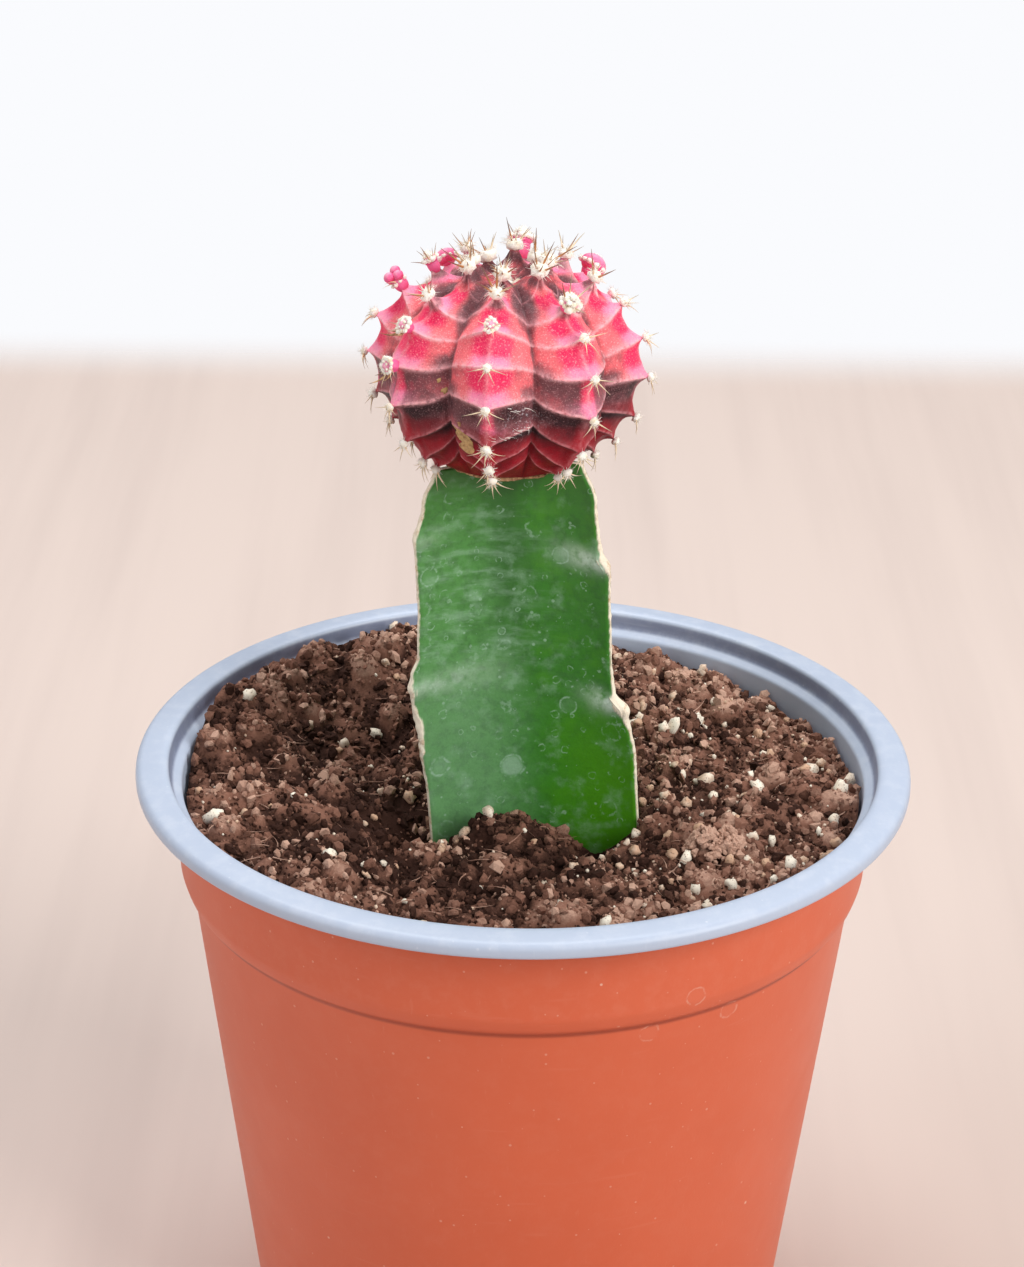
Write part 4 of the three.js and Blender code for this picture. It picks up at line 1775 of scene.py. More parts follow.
    def _scatter(
        self, crumbs: Workpiece, shapes: Sequence[bpy.types.Mesh], count: int, size: tuple[float, float],
    ) -> None:
        """Scatters crumbs over the bed.

        Args:
            crumbs: The piece that they are added to.
            shapes: The patterns that they are copied from.
            count: How many there are.
            size: The smallest radius, and how much larger the largest one is.
        """
        placed = 0
        while placed < count:
            x, y = self._spot(self.edge_radius - 0.3)
            if self.in_stem(x, y):
                continue
            radius = size[0] + size[1] * self.dice.random() ** 3.2
            dry = smoothstep(noise.noise(Vector((x, y, 5)) / 11), -0.25, 0.45)
            # The tone adds painted shade in the gaps between clumps
            tone = lerp(-0.15, 1.0, self.dice.random() ** 1.6) * lerp(0.6, 1.35, dry) + self._dryness_and_shade(x, y)
            seat = self._on_bed(x, y, self.dice.uniform(0.05, 0.5) * radius)
            place = seated(seat, turned(self.dice), radius)
            crumbs.stamp(self.dice.choice(shapes), place, tone=tone)
            placed += 1

    def _dry_lump(self, crumbs: Workpiece, shapes: Sequence[bpy.types.Mesh]) -> None:
        """Heaps up the drier, lighter lump in front of the stem's right side.

        Args:
            crumbs: The piece that it is added to.
            shapes: The patterns that its crumbs are copied from.
        """
        lump = self.lump
        for _ in range(lump.crumbs):
            turn, out = math.radians(self.dice.uniform(0, 360)), math.sqrt(self.dice.random())
            x = lump.x + lump.half_width * out * math.sin(turn)
            y = lump.y + lump.half_depth * out * math.cos(turn)
            seat = self._on_bed(x, y, lump.rise * math.sqrt(max(0.0, 1 - out * out)))
            place = seated(seat, turned(self.dice), self.dice.uniform(0.28, 0.7))
            crumbs.stamp(self.dice.choice(shapes), place, tone=self.dice.uniform(0.85, 1.15))

    def _perlite(self) -> None:
        """Makes the perlite: large grains in their places, then loose and fine ones, most to the right."""
        perlite = Workpiece("perlite", "tone")
        shapes = self._lumps("grain_pattern", self.grain_seeds, 2, 0.62, 0.55)
        fine = lump_pattern("speck_pattern", 1, 0.3, Vector((1, 0.9, 0.8)), self.speck_seed)

        def drop(shape: bpy.types.Mesh, x: float, y: float, radius: float, tone: float) -> None:
            """Lets a grain of a shape, radius and tone lie half sunk at a place."""
            seat = self._on_bed(x, y, 0.45 * radius)
            perlite.stamp(shape, seated(seat, turned(self.dice), radius), tone=tone)

        for x, y, radius, tone in self.grains:
            drop(self.dice.choice(shapes), x, y, radius, tone)
        placed = 0
        while placed < self.loose_grains + self.fine_grains:
            x, y = self._spot(self.edge_radius - 1)
            if self.in_stem(x, y) or self.dice.random() > (1 if x > self.sparse_until else self.sparse_side):
                continue
            if placed < self.loose_grains:
                radius = 0.45 + 0.75 * self.dice.random() ** 2
                drop(self.dice.choice(shapes), x, y, radius, self.dice.uniform(0.25, 1.1))
            else:
                drop(fine, x, y, self.dice.uniform(0.18, 0.38), self.dice.uniform(0.1, 0.9))
            placed += 1
        perlite.finish([self.grit.material()], Slot.MIX, "soil")

    def build(self) -> None:
        """Makes the bed, its crumbs and its grains."""
        peat = self.peat.material()
        self._bed(peat)
        self._crumbs(peat)
        self._perlite()


class BudStyle(Enum):
    """How an offset bud looks: how far it has grown and how woolly it is."""

    ROSETTE = "a pink heart in a cream ring"
    FLUFFY = "a large cream tuft with pink showing at its side"
    DOME = "a smooth pink dome with a cream tip"
    GLOBES = "a bunch of small pink globes"


# Rings of wool on a bud: how many tufts, and their distance, size and height as shares of its radius
BUD_WOOL: dict[BudStyle, tuple[tuple[int, float, float, float], ...]] = {
    BudStyle.ROSETTE: ((11, 0.86, 0.36, 0.2), (5, 0.44, 0.22, 0.5)),
    BudStyle.FLUFFY: ((11, 0.85, 0.4, 0.15), (7, 0.45, 0.34, 0.62), (1, 0.0, 0.4, 0.95)),
    BudStyle.DOME: ((10, 1.05, 0.34, -0.1), (3, 0.3, 0.2, 0.85)),
    BudStyle.GLOBES: ((7, 0.75, 0.28, -0.1),),
}

# A bud's own flesh: its width and height as shares of its radius
BUD_FLESH: dict[BudStyle, tuple[float, float]] = {
    BudStyle.ROSETTE: (0.78, 0.55),
    BudStyle.FLUFFY: (0.86, 0.66),
    BudStyle.DOME: (1.15, 0.9),
}

# Withered flowers under a bud: how far aside each hangs, and its length
REMAINS = ((-0.9, 1.7), (-0.25, 3.2), (0.4, 2.0))


@dataclass(frozen=True)
class Bud:
    """An offset bud: the areole that it grows from, its style, its radius and how far it stands out."""

    rib: int
    areole: int
    style: BudStyle
    radius: float
    stand: float
    withered: bool = False


@dataclass(frozen=True)
class SpineStyle:
    """A kind of spine: its thickness for a unit of length, its bends, and its ranges of length and tone."""

    name: str
    radius: float
    bends: tuple[float, ...]
    steps: int
    length: tuple[float, float]
    tone: tuple[float, float]

    def patterns(self) -> list[bpy.types.Mesh]:
        """A pattern for each bend."""
        return [horn_pattern(self.name, self.radius, bend, 6, self.steps) for bend in self.bends]


CLAW = SpineStyle("claw_pattern", 0.05, (0.1, 0.24, 0.38), 6, (2.0, 3.1), (0.1, 0.6))
BRISTLE = SpineStyle("bristle_pattern", 0.048, (-0.05, 0.04, 0.12), 7, (2.4, 4.6), (0.5, 0.95))


@dataclass(frozen=True)
class Areole:
    """One areole: its number down the rib, its place, the ways out, down and sideways, and its latitude."""

    number: int
    place: Vector
    out: Vector
    down: Vector
    side: Vector
    latitude: float

    def around(self, turn: float) -> Vector:
        """The way along the skin at a turn from the side way to the down way, in radians."""
        return self.side * math.cos(turn) + self.down * math.sin(turn)


@dataclass(frozen=True)
class Band:
    """A stretch over which something comes in, from where it starts to where it is full."""

    start: float
    full: float

    def share(self, at: float) -> float:
        """How far it has come in at a place, from 0 to 1."""
        return smoothstep(at, self.start, self.full)


@dataclass(frozen=True)
class HeadBands:
    """The latitudes over which the head's form and skin change."""

    crown_form: Band = Band(20, 80)
    crown_skin: Band = Band(30, 60)
    crown_hollow: Band = Band(70, 90)
    crown_dusk: Band = Band(60, 74)
    clear_furrow: Band = Band(58, 75)
    keel_form: Band = Band(70, 50)
    keel_skin: Band = Band(66, 50)
    flank: Band = Band(34, 10)
    waist: Band = Band(4, -14)
    foot: Band = Band(-6, -24)
    clear_foot: Band = Band(-16, -34)
    smooth_belly: Band = Band(-28, -45)
    erect_spines: Band = Band(5, 60)


@dataclass
class GraftedHead:
    """The ribbed head, with cross ridges between its areoles, and all that grows from them."""

    graft_height: float
    skin: HeadSkin
    wool: Wool
    horn: SpineHorn
    bud_skin: BudSkin
    crust: DryCrust
    buds: tuple[Bud, ...]
    bands: HeadBands = HeadBands()
    radius: float = 20.5
    x: float = -3.2
    equator: float = 167.0
    crown_rise: float = 15.0
    belly_drop: float = 16.5
    base_radius: float = 9.8
    foot_latitude: float = -62.0
    crown_latitude: float = 100.0
    crown_hollow: float = 2.2
    low_squeeze: tuple[float, float] = (-46.0, 13.0)
    high_squeeze: tuple[float, float] = (72.0, 16.0)
    rib_count: int = 8
    front_rib: float = -8.0
    furrow_depth: float = 0.19
    crown_furrow_depth: float = 0.17
    crown_furrow_sink: float = 1.6
    ridge_slant: float = 0.3
    ridge_lift: float = 3.0
    furrow_relief: float = 0.3
    crest_relief: float = 0.9
    groove_depth: float = 0.45
    groove_band: Band = Band(0.86, 1.0)
    keel_rise: float = 0.3
    keel_width: float = 0.12
    areoles: tuple[float, ...] = (84, 61, 43, 22, 0, -22, -38, -53)
    rib_shifts: tuple[float, ...] = (0, -10, -4, 3, -6, 4, 1, -9)
    first_dark: tuple[int, ...] = (4, 3, 4, 3, 4, 3, 4, 3)
    young_areoles: int = 2
    young_stands: tuple[float, ...] = (1.7, 0.9, 0.45)
    old_stand: float = 0.3
    young_width: float = 1.25
    old_width: float = 1.0
    neck_radius: float = 1.1
    neck_width: float = 0.8
    rib_stations: int = 32
    rows_per_areole: int = 16
    graft_gap: float = 0.3
    areole_gap: float = 6.4
    ridge_line: float = 0.42
    ridge_halo: float = 1.1
    uneven: float = 0.3
    fine_uneven: float = 0.1
    scab_rise: float = 0.18
    scabs: tuple[tuple[tuple[float, float, float], float], ...] = ()
    powders: tuple[tuple[tuple[float, float, float], float], ...] = ()
    lint: tuple[tuple[int, float, float], ...] = ()
    young_tufts: tuple[float, ...] = (1.6, 1.35, 1.0)
    old_tuft: tuple[float, float] = (0.8, 0.98)
    tuft_hairs: int = 54
    bud_hairs: int = 20
    crown_tufts: int = 7
    crown_tuft: float = 0.9
    crown_hairs: int = 26
    callus_reach: float = 9.5
    callus_thickness: float = 0.34
    callus_columns: int = 160
    callus_rows: int = 10
    glow_below: float = 66.0
    seed: int = 5

    def __post_init__(self) -> None:
        """Finds every areole, so that the skin can rise to them."""
        self.dice = random.Random(self.seed)
        self.axis = Vector((self.x, 0, 0))
        self.middle = Vector((self.x, 0, self.equator))
        self.seats: dict[tuple[int, int], Areole] = {}
        for rib in range(self.rib_count):
            for number in range(len(self.areoles)):
                self.seats[rib, number] = self._areole(rib, number)

    def _angle(self, rib: int, across: float = 0.0) -> float:
        """The angle round the head of a point on a rib, in degrees."""
        return self.front_rib + 360 / self.rib_count * (rib + across / 2)

    def _true_latitude(self, rib: int, across: float, latitude: float) -> float:
        """The true latitude of a point on a rib, whose cross ridges slant and whose ends are squeezed in.

        Args:
            rib: The rib.
            across: From -1 in one furrow to 1 in the other.
            latitude: The latitude counted along the rib's own areoles.

        Returns:
            The latitude on the head.
        """
        aside = abs(across)
        beside = (rib + (-1 if across < 0 else 1)) % self.rib_count
        shared = (self.rib_shifts[rib] + self.rib_shifts[beside]) / 2
        shifted = latitude + lerp(self.rib_shifts[rib], shared, aside**4)
        slanted = shifted * (1 - self.ridge_slant * aside) + self.ridge_lift * aside
        start, over = self.low_squeeze if slanted < 0 else self.high_squeeze
        past = abs(slanted) - abs(start)
        if past <= 0:
            return slanted
        return start + math.copysign(over * (1 - math.exp(-past / over)), start)

    def _between(self, latitude: float) -> float:
        """Where a latitude falls between two areoles of a rib.

        Args:
            latitude: The latitude counted along the rib's own areoles.

        Returns:
            A share from 0 at one areole to 1 at the next one down.
        """
        if latitude >= self.areoles[0]:
            return 0.0
        for upper, lower in zip(self.areoles, [*self.areoles[1:], self.areoles[-1] - 16]):
            if latitude >= lower:
                return (upper - latitude) / (upper - lower)
        return 1.0

    def _bare(self, rib: int, across: float, latitude: float) -> Vector:
        """A point of the ribbed and cross-ridged form, without what rises at the areoles.

        Args:
            rib: The rib.
            across: From -1 in one furrow to 1 in the other.
            latitude: The latitude counted along the rib's own areoles.

        Returns:
            The point.
        """
        aside = abs(across)
        bands = self.bands
        real = self._true_latitude(rib, across, latitude)
        tilt = math.radians(real)
        crown = bands.crown_form.share(real)
        furrow = 1 - (self.furrow_depth + self.crown_furrow_depth * crown) * aside**1.25
        cupped = (self.furrow_relief + self.crest_relief * (1 - aside) ** 1.2) * (1 + 0.5 * crown)
        relief = -cupped * math.sin(math.pi * self._between(latitude) ** 0.8) ** 0.8
        groove = self.groove_depth * self.groove_band.share(aside) * (1 - 0.6 * crown)
        keel = self.keel_rise * math.exp(-((aside / self.keel_width) ** 2))
        relief *= 1 - 0.35 * bands.smooth_belly.share(real)
        relief += (keel - groove) * bands.keel_form.share(abs(real))
        radius = self.radius * math.cos(tilt) ** 0.88 * furrow + relief * math.cos(tilt)
        rise = (self.crown_rise if real > 0 else self.belly_drop) * math.sin(tilt) + relief * math.sin(tilt)
        sink = self.crown_hollow * bands.crown_hollow.share(real) + self.crown_furrow_sink * crown * aside
        return polar(radius, self._angle(rib, across), self.equator + rise - sink) + self.axis

    def _areole(self, rib: int, number: int) -> Areole:
        """Finds an areole.

        Args:
            rib: The rib.
            number: Its number from the crown.

        Returns:
            The areole with its place and its ways.
        """
        own = self.areoles[number]
        latitude = self._true_latitude(rib, 0, own)
        up = (self._bare(rib, 0, own + 4) - self._bare(rib, 0, own - 4)).normalized()
        side = polar(1, self._angle(rib) + 90)
        out = side.cross(up).normalized()
        down = Vector((0, 0, -1)) if latitude < 0 else -up
        return Areole(number, self._bare(rib, 0, own) + out * self._stand(number), out, down, side, latitude)

    def _stand(self, number: int) -> float:
        """How far the tubercle under an areole stands out, by its number from the crown."""
        return self.young_stands[number] if number < len(self.young_stands) else self.old_stand

    def _tubercle(self, rib: int, bare: Vector) -> tuple[Vector, float]:
        """What rises at the areoles.

        Args:
            rib: The rib that the point is on.
            bare: The point without it.

        Returns:
            The move outwards, and how near the point is to a young areole's neck.
        """
        move, neck = Vector(), 0.0
        for number in range(len(self.areoles)):
            seat = self.seats[rib, number]
            stand = self._stand(number)
            away = (bare - (seat.place - seat.out * stand)).length
            width = self.young_width if number < self.young_areoles else self.old_width
            if away > 3 * width:
                continue
            move += seat.out * stand * math.exp(-((away / width) ** 2.6))
            if number < self.young_areoles:
                neck = max(neck, math.exp(-(((away - self.neck_radius) / self.neck_width) ** 2)))
        return move, neck

    def _waist(self, past: int, aside: float, between: float, real: float) -> float:
        """How dusky the skin is round the head's waist: its own dark bands, with painted shade deepest just
        under each ridge and lighter along the crest.

        Args:
            past: How many areoles the point is below its rib's first dark one, less than 0 above it.
            aside: From 0 on the crest to 1 in a furrow.
            between: From 0 at an areole to 1 at the next one down.
            real: The true latitude.

        Returns:
            The duskiness.
        """
        if past < -1:
            return 0.0
        if past == -1:
            return 0.82 * smoothstep(aside, 0.3, 0.95) * smoothstep(between, 0.1, 0.8)
        depth = self.bands.waist.share(real)
        # Painted shade: darkest just under each ridge, lighter along the crest
        below_ridge = 1 - smoothstep(between, 0.1, 0.95)
        shade = lerp(0.62, 0.7, depth) + lerp(0.2, 0.62, depth) * below_ridge
        crest = 0.5 * (1 - smoothstep(aside, 0.04, 0.22))
        return (shade - crest) * (1 - 0.5 * self.bands.clear_foot.share(real))

    def _ridge_highlight(self, dark: bool, aside: float, latitude: float, real: float) -> float:
        """How pale the skin is on a ridge or a rib's keel: paler skin with a painted highlight along the
        edge.

        Args:
            dark: Whether the ridge is in the dark waist.
            aside: From 0 on the crest to 1 in a furrow.
            latitude: The latitude counted along the rib's own areoles.
            real: The true latitude.

        Returns:
            A share from 0 to 1.
        """
        between = self._between(latitude)
        nearest = min(between, 1 - between) if latitude < self.areoles[0] else 1.0
        line = math.exp(-((nearest * self.areole_gap / self.ridge_line) ** 2))
        above_next = (1 - between) * self.areole_gap
        # The halo above each ridge is a painted highlight
        halo = (0.25 if dark else 0.6) * math.exp(-((above_next / self.ridge_halo) ** 2))
        sides = max(line, halo) * smoothstep(aside, 0.02, 0.14)
        keel = 0.5 * (1 - smoothstep(aside, 0.02, 0.09)) * self.bands.keel_skin.share(real)
        return max(sides, keel)

    def _scab(self, point: Vector) -> float:
        """How scabby the skin is at a point, from 0 to 1.

        Args:
            point: The point.

        Returns:
            The share.
        """
        ragged = 1 + 0.45 * noise.noise(point * 1.1) + 0.2 * noise.noise(point * 3.0)
        away = [(point - Vector(middle)).length / (radius * ragged) for middle, radius in self.scabs]
        return max((1 - smoothstep(share, 0.6, 1.3) for share in away), default=0.0)

    def _powder(self, point: Vector) -> float:
        """How much dusty powder lies on the skin at a point."""
        away = [(point - Vector(middle)).length / radius for middle, radius in self.powders]
        return 0.75 * sum(math.exp(-(share**2)) for share in away)

    def _skin_marks(self, rib: int, across: float, latitude: float, neck: float, point: Vector) -> Marks:
        """The values that the skin's finish reads at a point.

        Args:
            rib: The rib that the point is on.
            across: From -1 in one furrow to 1 in the other.
            latitude: The latitude counted along the rib's own areoles.
            neck: How near the point is to a young areole's neck.
            point: The point itself.

        Returns:
            The marks by name.
        """
        aside = abs(across)
        bands = self.bands
        real = self._true_latitude(rib, across, latitude)
        between = self._between(latitude)
        crown, low = bands.crown_skin.share(real), bands.foot.share(real)
        # Furrows: painted shade mixed with their own dusky colour
        furrow = smoothstep(aside, lerp(0.84, 0.16, crown), lerp(1.0, 0.78, crown)) * lerp(0.7, 0.9, crown)
        furrow *= 1 - 0.25 * bands.clear_furrow.share(real)
        past = sum(areole > latitude for areole in self.areoles) - 1 - self.first_dark[rib]
        waist = self._waist(past, aside, between, real)
        below_ridge = 1 - smoothstep(between, 0.1, 0.95)
        # Flanks: painted shade under each ridge
        flank = 0.5 * bands.flank.share(real) * smoothstep(aside, 0.25, 0.6) * below_ridge
        top = 0.52 * bands.crown_dusk.share(real)
        crest = 1 - smoothstep(aside, 0.12, 0.78)
        ridge = self._ridge_highlight(past >= 0, aside, latitude, real)
        return {
            "dusk_and_shade": max(furrow, waist, flank, top, 0.85 * neck),
            "glow": crest * (1 - smoothstep(between, 0.35, 0.95)) * (real < self.glow_below),
            "blush": (1 - smoothstep(aside, 0.1, 0.75)) * (0.25 + 0.75 * smoothstep(between, 0.3, 0.8)),
            "low": low,
            "ridge": ridge * (1 - 0.45 * furrow) * (1 - 0.62 * low),
            "scab": self._scab(point),
            "powder": self._powder(point),
        }

    def _rows(self) -> list[float]:
        """The latitude of each row of the skin, closer together near the ridges.

        Returns:
            The latitudes.
        """
        stops = [self.foot_latitude, *reversed(self.areoles), self.crown_latitude]
        rows = []
        for low, high in zip(stops, stops[1:]):
            for index in range(self.rows_per_areole):
                even = index / self.rows_per_areole
                rows.append(lerp(low, high, 0.45 * even + 0.55 * (0.5 - 0.5 * math.cos(math.pi * even))))
        return [*rows, self.crown_latitude]

    def _head(self) -> None:
        """Makes the ribbed head, from its cut base to the hollow of its crown."""
        head = Workpiece("head")
        rows = self._rows()
        floor = self.graft_height + self.graft_gap
        foot_rings = (0.0, self.base_radius * 0.6, self.base_radius)
        roof_rings = (0.66, 0.33, 0.0)
        roof = self.middle + Vector((0, 0, self.crown_rise - self.crown_hollow - 1.4))

        def place(column: int, row: int) -> tuple[Vector, Marks]:
            """The point and the marks at a column and a row.

            Args:
                column: The column.
                row: The row.

            Returns:
                The point and its marks.
            """
            turn = column / self.rib_stations
            rib = int(turn) % self.rib_count
            across = -1 + 2 * (turn - int(turn))
            if row < len(foot_rings):
                point = polar(foot_rings[row], self._angle(rib, across), floor) + self.axis
                return point, self._skin_marks(rib, across, self.foot_latitude, 0.0, point)
            index = row - len(foot_rings)
            latitude = rows[min(index, len(rows) - 1)]
            bare = self._bare(rib, across, latitude)
            move, neck = self._tubercle(rib, bare)
            out = (bare - self.middle).normalized()
            uneven = self.uneven * noise.noise(bare / 3.5) + self.fine_uneven * noise.noise(bare / 1.1)
            point = bare + move + out * uneven
            if index >= len(rows):
                point = roof.lerp(point, roof_rings[index - len(rows)])
            marks = self._skin_marks(rib, across, latitude, neck, bare)
            return point + out * self.scab_rise * marks["scab"], marks

        quads_up = len(foot_rings) + len(rows) + len(roof_rings) - 1
        head.wrap(self.rib_count * self.rib_stations, quads_up, place)
        head.finish([self.skin.material()], Slot.HEAD, "scion")

    def _fans(self, seat: Areole, style: SpineStyle) -> list[float]:
        """The ways that an areole's spines point, in degrees from straight down.

        Args:
            seat: The areole.
            style: The kind of spine that it bears.

        Returns:
            A way for each spine.
        """
        if style is BRISTLE:
            count = 6 if seat.number == 0 else 5
            return [360 / count * index + self.dice.uniform(-15, 15) + 20 for index in range(count)]
        count = self.dice.choice((3, 4, 5, 5))
        spread = 150 if count > 3 else 110
        return [-spread / 2 + spread * index / (count - 1) for index in range(count)]

    def _spines(self) -> None:
        """Makes the spines: short claws on the sides, long thin bristles round the crown."""
        spines = Workpiece("head_spines", "along", "tone")
        patterns = {style: style.patterns() for style in (CLAW, BRISTLE)}
        for seat in self.seats.values():
            style = BRISTLE if seat.number < self.young_areoles or seat.latitude > 50 else CLAW
            upright = lerp(66, 34, self.bands.erect_spines.share(seat.latitude))
            for fan in self._fans(seat, style):
                turn = math.radians(fan + self.dice.uniform(-9, 9))
                lean = math.radians(upright + self.dice.uniform(-13, 13))
                sweep = seat.down * math.cos(turn) + seat.side * math.sin(turn)
                way = (seat.out * math.cos(lean) + sweep * math.sin(lean)).normalized()
                inwards = sweep * math.cos(lean) - seat.out * math.sin(lean)
                length = self.dice.uniform(*style.length)
                shape = self.dice.choice(patterns[style])
                start = seat.place + seat.out * 0.2 + sweep * 0.35
                tone = self.dice.uniform(*style.tone)
                spines.stamp(shape, seated(start, facing(way, inwards), length), tone=tone)
        spines.finish([self.horn.material()], Slot.HEAD, "scion")

    def _tuft(self, wool: Workpiece, seat: Areole, spot: Vector, radius: float, hairs: int) -> None:
        """A tuft of wool: a soft core under curling hairs.

        Args:
            wool: The piece that the tuft is added to.
            seat: The areole, for its ways.
            spot: The tuft's middle.
            radius: Its radius.
            hairs: How many hairs stand out of it.
        """
        tone = self.dice.uniform(0.2, 0.9)
        flattened = Matrix.Diagonal((0.82 * radius, 0.82 * radius, 0.62 * radius, 1))
        core = Matrix.Translation(spot) @ facing(seat.out, seat.side) @ flattened
        wool.stamp(self.dice.choice(self.cores), core, tone=tone)
        for _ in range(hairs):
            tilt = math.acos(self.dice.uniform(0.02, 1))
            side = seat.around(self.dice.uniform(0, 2 * math.pi))
            way = (seat.out * math.cos(tilt) + side * math.sin(tilt)).normalized()
            curl = Vector([self.dice.uniform(-0.7, 0.7) for _ in range(3)])
            length = radius * self.dice.uniform(0.6, 1.15)
            place = seated(spot + way * radius * 0.45, facing((way + curl).normalized(), side), length)
            wool.stamp(self.hair, place, tone=tone)

    def _tufts(self) -> None:
        """Makes the wool on every areole, round the buds and in the crown, and the lint."""
        wool = Workpiece("head_wool", "tone", "along")
        self.cores = [lump_pattern("wool_core", 2, 0.45, Vector((1, 1, 1)), seed) for seed in range(60, 66)]
        self.hair = horn_pattern("wool_hair", 0.06, 0.45, 3, 3)
        budding = {(bud.rib, bud.areole): bud for bud in self.buds}
        for key, seat in self.seats.items():
            if key in budding:
                self._bud_wool(wool, seat, budding[key])
                continue
            young = seat.number < len(self.young_tufts)
            radius = self.young_tufts[seat.number] if young else self.dice.uniform(*self.old_tuft)
            self._tuft(wool, seat, seat.place + seat.out * 0.2, radius, self.tuft_hairs)
        for index in range(self.crown_tufts):
            spot = polar(1.6 if index else 0.0, index * 60, self.equator + self.crown_rise - 3.2) + self.axis
            top = Areole(0, spot, Vector((0, 0, 1)), Vector((0, 1, 0)), Vector((1, 0, 0)), 90)
            self._tuft(wool, top, spot, self.crown_tuft, self.crown_hairs)
        self._lint(wool)
        wool.finish([self.wool.material()], Slot.HEAD, "scion")

    def _bud_wool(self, wool: Workpiece, seat: Areole, bud: Bud) -> None:
        """The wool of one bud, by its style.

        Args:
            wool: The piece that it is added to.
            seat: The areole that the bud grows from.
            bud: The bud.
        """
        middle = seat.place + seat.out * bud.stand
        for count, reach, size, rise in BUD_WOOL[bud.style]:
            for index in range(count):
                side = seat.around(2 * math.pi * index / count + 4 * reach)
                away = side * reach * self.dice.uniform(0.8, 1.2) + seat.out * rise
                radius = bud.radius * size * self.dice.uniform(0.75, 1.3)
                self._tuft(wool, seat, middle + away * bud.radius, radius, self.bud_hairs)

    def _lint(self, wool: Workpiece) -> None:
        """Adds pale threads of lint that lie on the skin.

        Args:
            wool: The piece that they are added to.
        """
        thread = horn_pattern("lint_thread", 0.034, 0.4, 4, 5)
        for rib, across, latitude in self.lint:
            for _ in range(2):
                shift, climb = self.dice.uniform(-0.06, 0.06), self.dice.uniform(-1.5, 1.5)
                spot = self._bare(rib, across + shift, latitude + climb)
                out = (spot - self.middle).normalized()
                heading = polar(1, self.dice.uniform(0, 360))
                way = (heading - heading.project(out)).normalized()
                place = seated(spot + out * 0.3, facing(way, way.cross(out)), self.dice.uniform(1.0, 2.0))
                wool.stamp(thread, place, tone=0.1)

    @staticmethod
    def _globe_pattern() -> bpy.types.Mesh:
        """A faintly ribbed ball of unit radius, with the share of its height as a value.

        Returns:
            The pattern.
        """
        globe = Workpiece("globe_pattern")
        along = globe.layer("along")
        bmesh.ops.create_uvsphere(globe.mesh, u_segments=24, v_segments=14, radius=1)
        for vertex in globe.mesh.verts:
            vertex[along] = (vertex.co.z + 1) / 2
            turn = math.atan2(vertex.co.y, vertex.co.x)
            vertex.co.xy *= 1 + 0.07 * math.cos(6 * turn) * (1 - vertex.co.z**2)
        return globe.pattern()

    def _bud_flesh(self, buds: Workpiece, globe: bpy.types.Mesh, bud: Bud) -> None:
        """The stalk and the dome or globes of one bud.

        Args:
            buds: The piece that they are added to.
            globe: The ball that they are made of.
            bud: The bud.
        """
        seat = self.seats[bud.rib, bud.areole]
        turn = facing(seat.out, seat.side)
        middle = seat.place + seat.out * bud.stand
        stalk = Matrix.Diagonal((0.74 * bud.radius, 0.74 * bud.radius, 0.7 * bud.radius + bud.stand, 1))
        buds.stamp(globe, Matrix.Translation(seat.place) @ turn @ stalk)
        if bud.style is not BudStyle.GLOBES:
            wide, high = (bud.radius * share for share in BUD_FLESH[bud.style])
            buds.stamp(globe, Matrix.Translation(middle) @ turn @ Matrix.Diagonal((wide, wide, high, 1)))
            return
        for index in range(4):
            side = seat.around(math.radians(90 * index + 30))
            spot = middle + side * 0.62 * bud.radius + seat.out * (0.5 if index % 2 else 0.95) * bud.radius
            buds.stamp(globe, seated(spot, turn, 0.56 * bud.radius))

    def _withered(self, buds: Workpiece, flower: bpy.types.Mesh, bud: Bud) -> None:
        """The withered flowers under one bud.

        Args:
            buds: The piece that they are added to.
            flower: Their pattern.
            bud: The bud.
        """
        seat = self.seats[bud.rib, bud.areole]
        for aside, length in REMAINS:
            way = (seat.out * 0.4 + seat.down * 0.9 + seat.side * aside).normalized()
            start = seat.place + (seat.down * 0.8 + seat.side * aside * 0.6) * bud.radius + seat.out * 0.3
            buds.stamp(flower, seated(start, facing(way, seat.out), length))

    def _offsets(self) -> None:
        """Makes the offset buds' own flesh, and the withered flowers under two of them."""
        buds = Workpiece("head_buds", "along")
        globe = self._globe_pattern()
        for bud in self.buds:
            self._bud_flesh(buds, globe, bud)
        fleshy = len(buds.mesh.faces)
        flower = horn_pattern("withered_pattern", 0.1, 0.6, 6, 6)
        for bud in self.buds:
            if bud.withered:
                self._withered(buds, flower, bud)
        buds.mesh.faces.ensure_lookup_table()
        for face in buds.mesh.faces[fleshy:]:
            face.material_index = 1
        buds.finish([self.bud_skin.material(), self.crust.material()], Slot.HEAD, "scion")

    def _callus(self) -> None:
        """Makes the dried, uneven edge of the graft, between the head's base and the stem's cut top."""
        callus = Workpiece("graft_callus")

        def place(column: int, row: int) -> tuple[Vector, Marks]:
            """The point at a column and a row, which carries no marks.

            Args:
                column: The column.
                row: The row.

            Returns:
                The point, and no marks.
            """
            angle = 360 * column / self.callus_columns
            turn = 2 * math.pi * row / self.callus_rows
            spot = polar(1, angle) * 2.2
            thick = self.callus_thickness * (1 + noise.noise(spot * 2.0)) + 0.24 * noise.noise(spot * 6.0)
            ragged = 0.8 * noise.noise(spot * 1.5 + Vector((3, 0, 0))) + 0.3 * noise.noise(spot * 5.0)
            radius = self.callus_reach + ragged + 1.6 * thick * math.cos(turn)
            height = self.graft_height + 0.2 + 0.7 * thick * math.sin(turn)
            return polar(radius, angle, height) + self.axis, {}

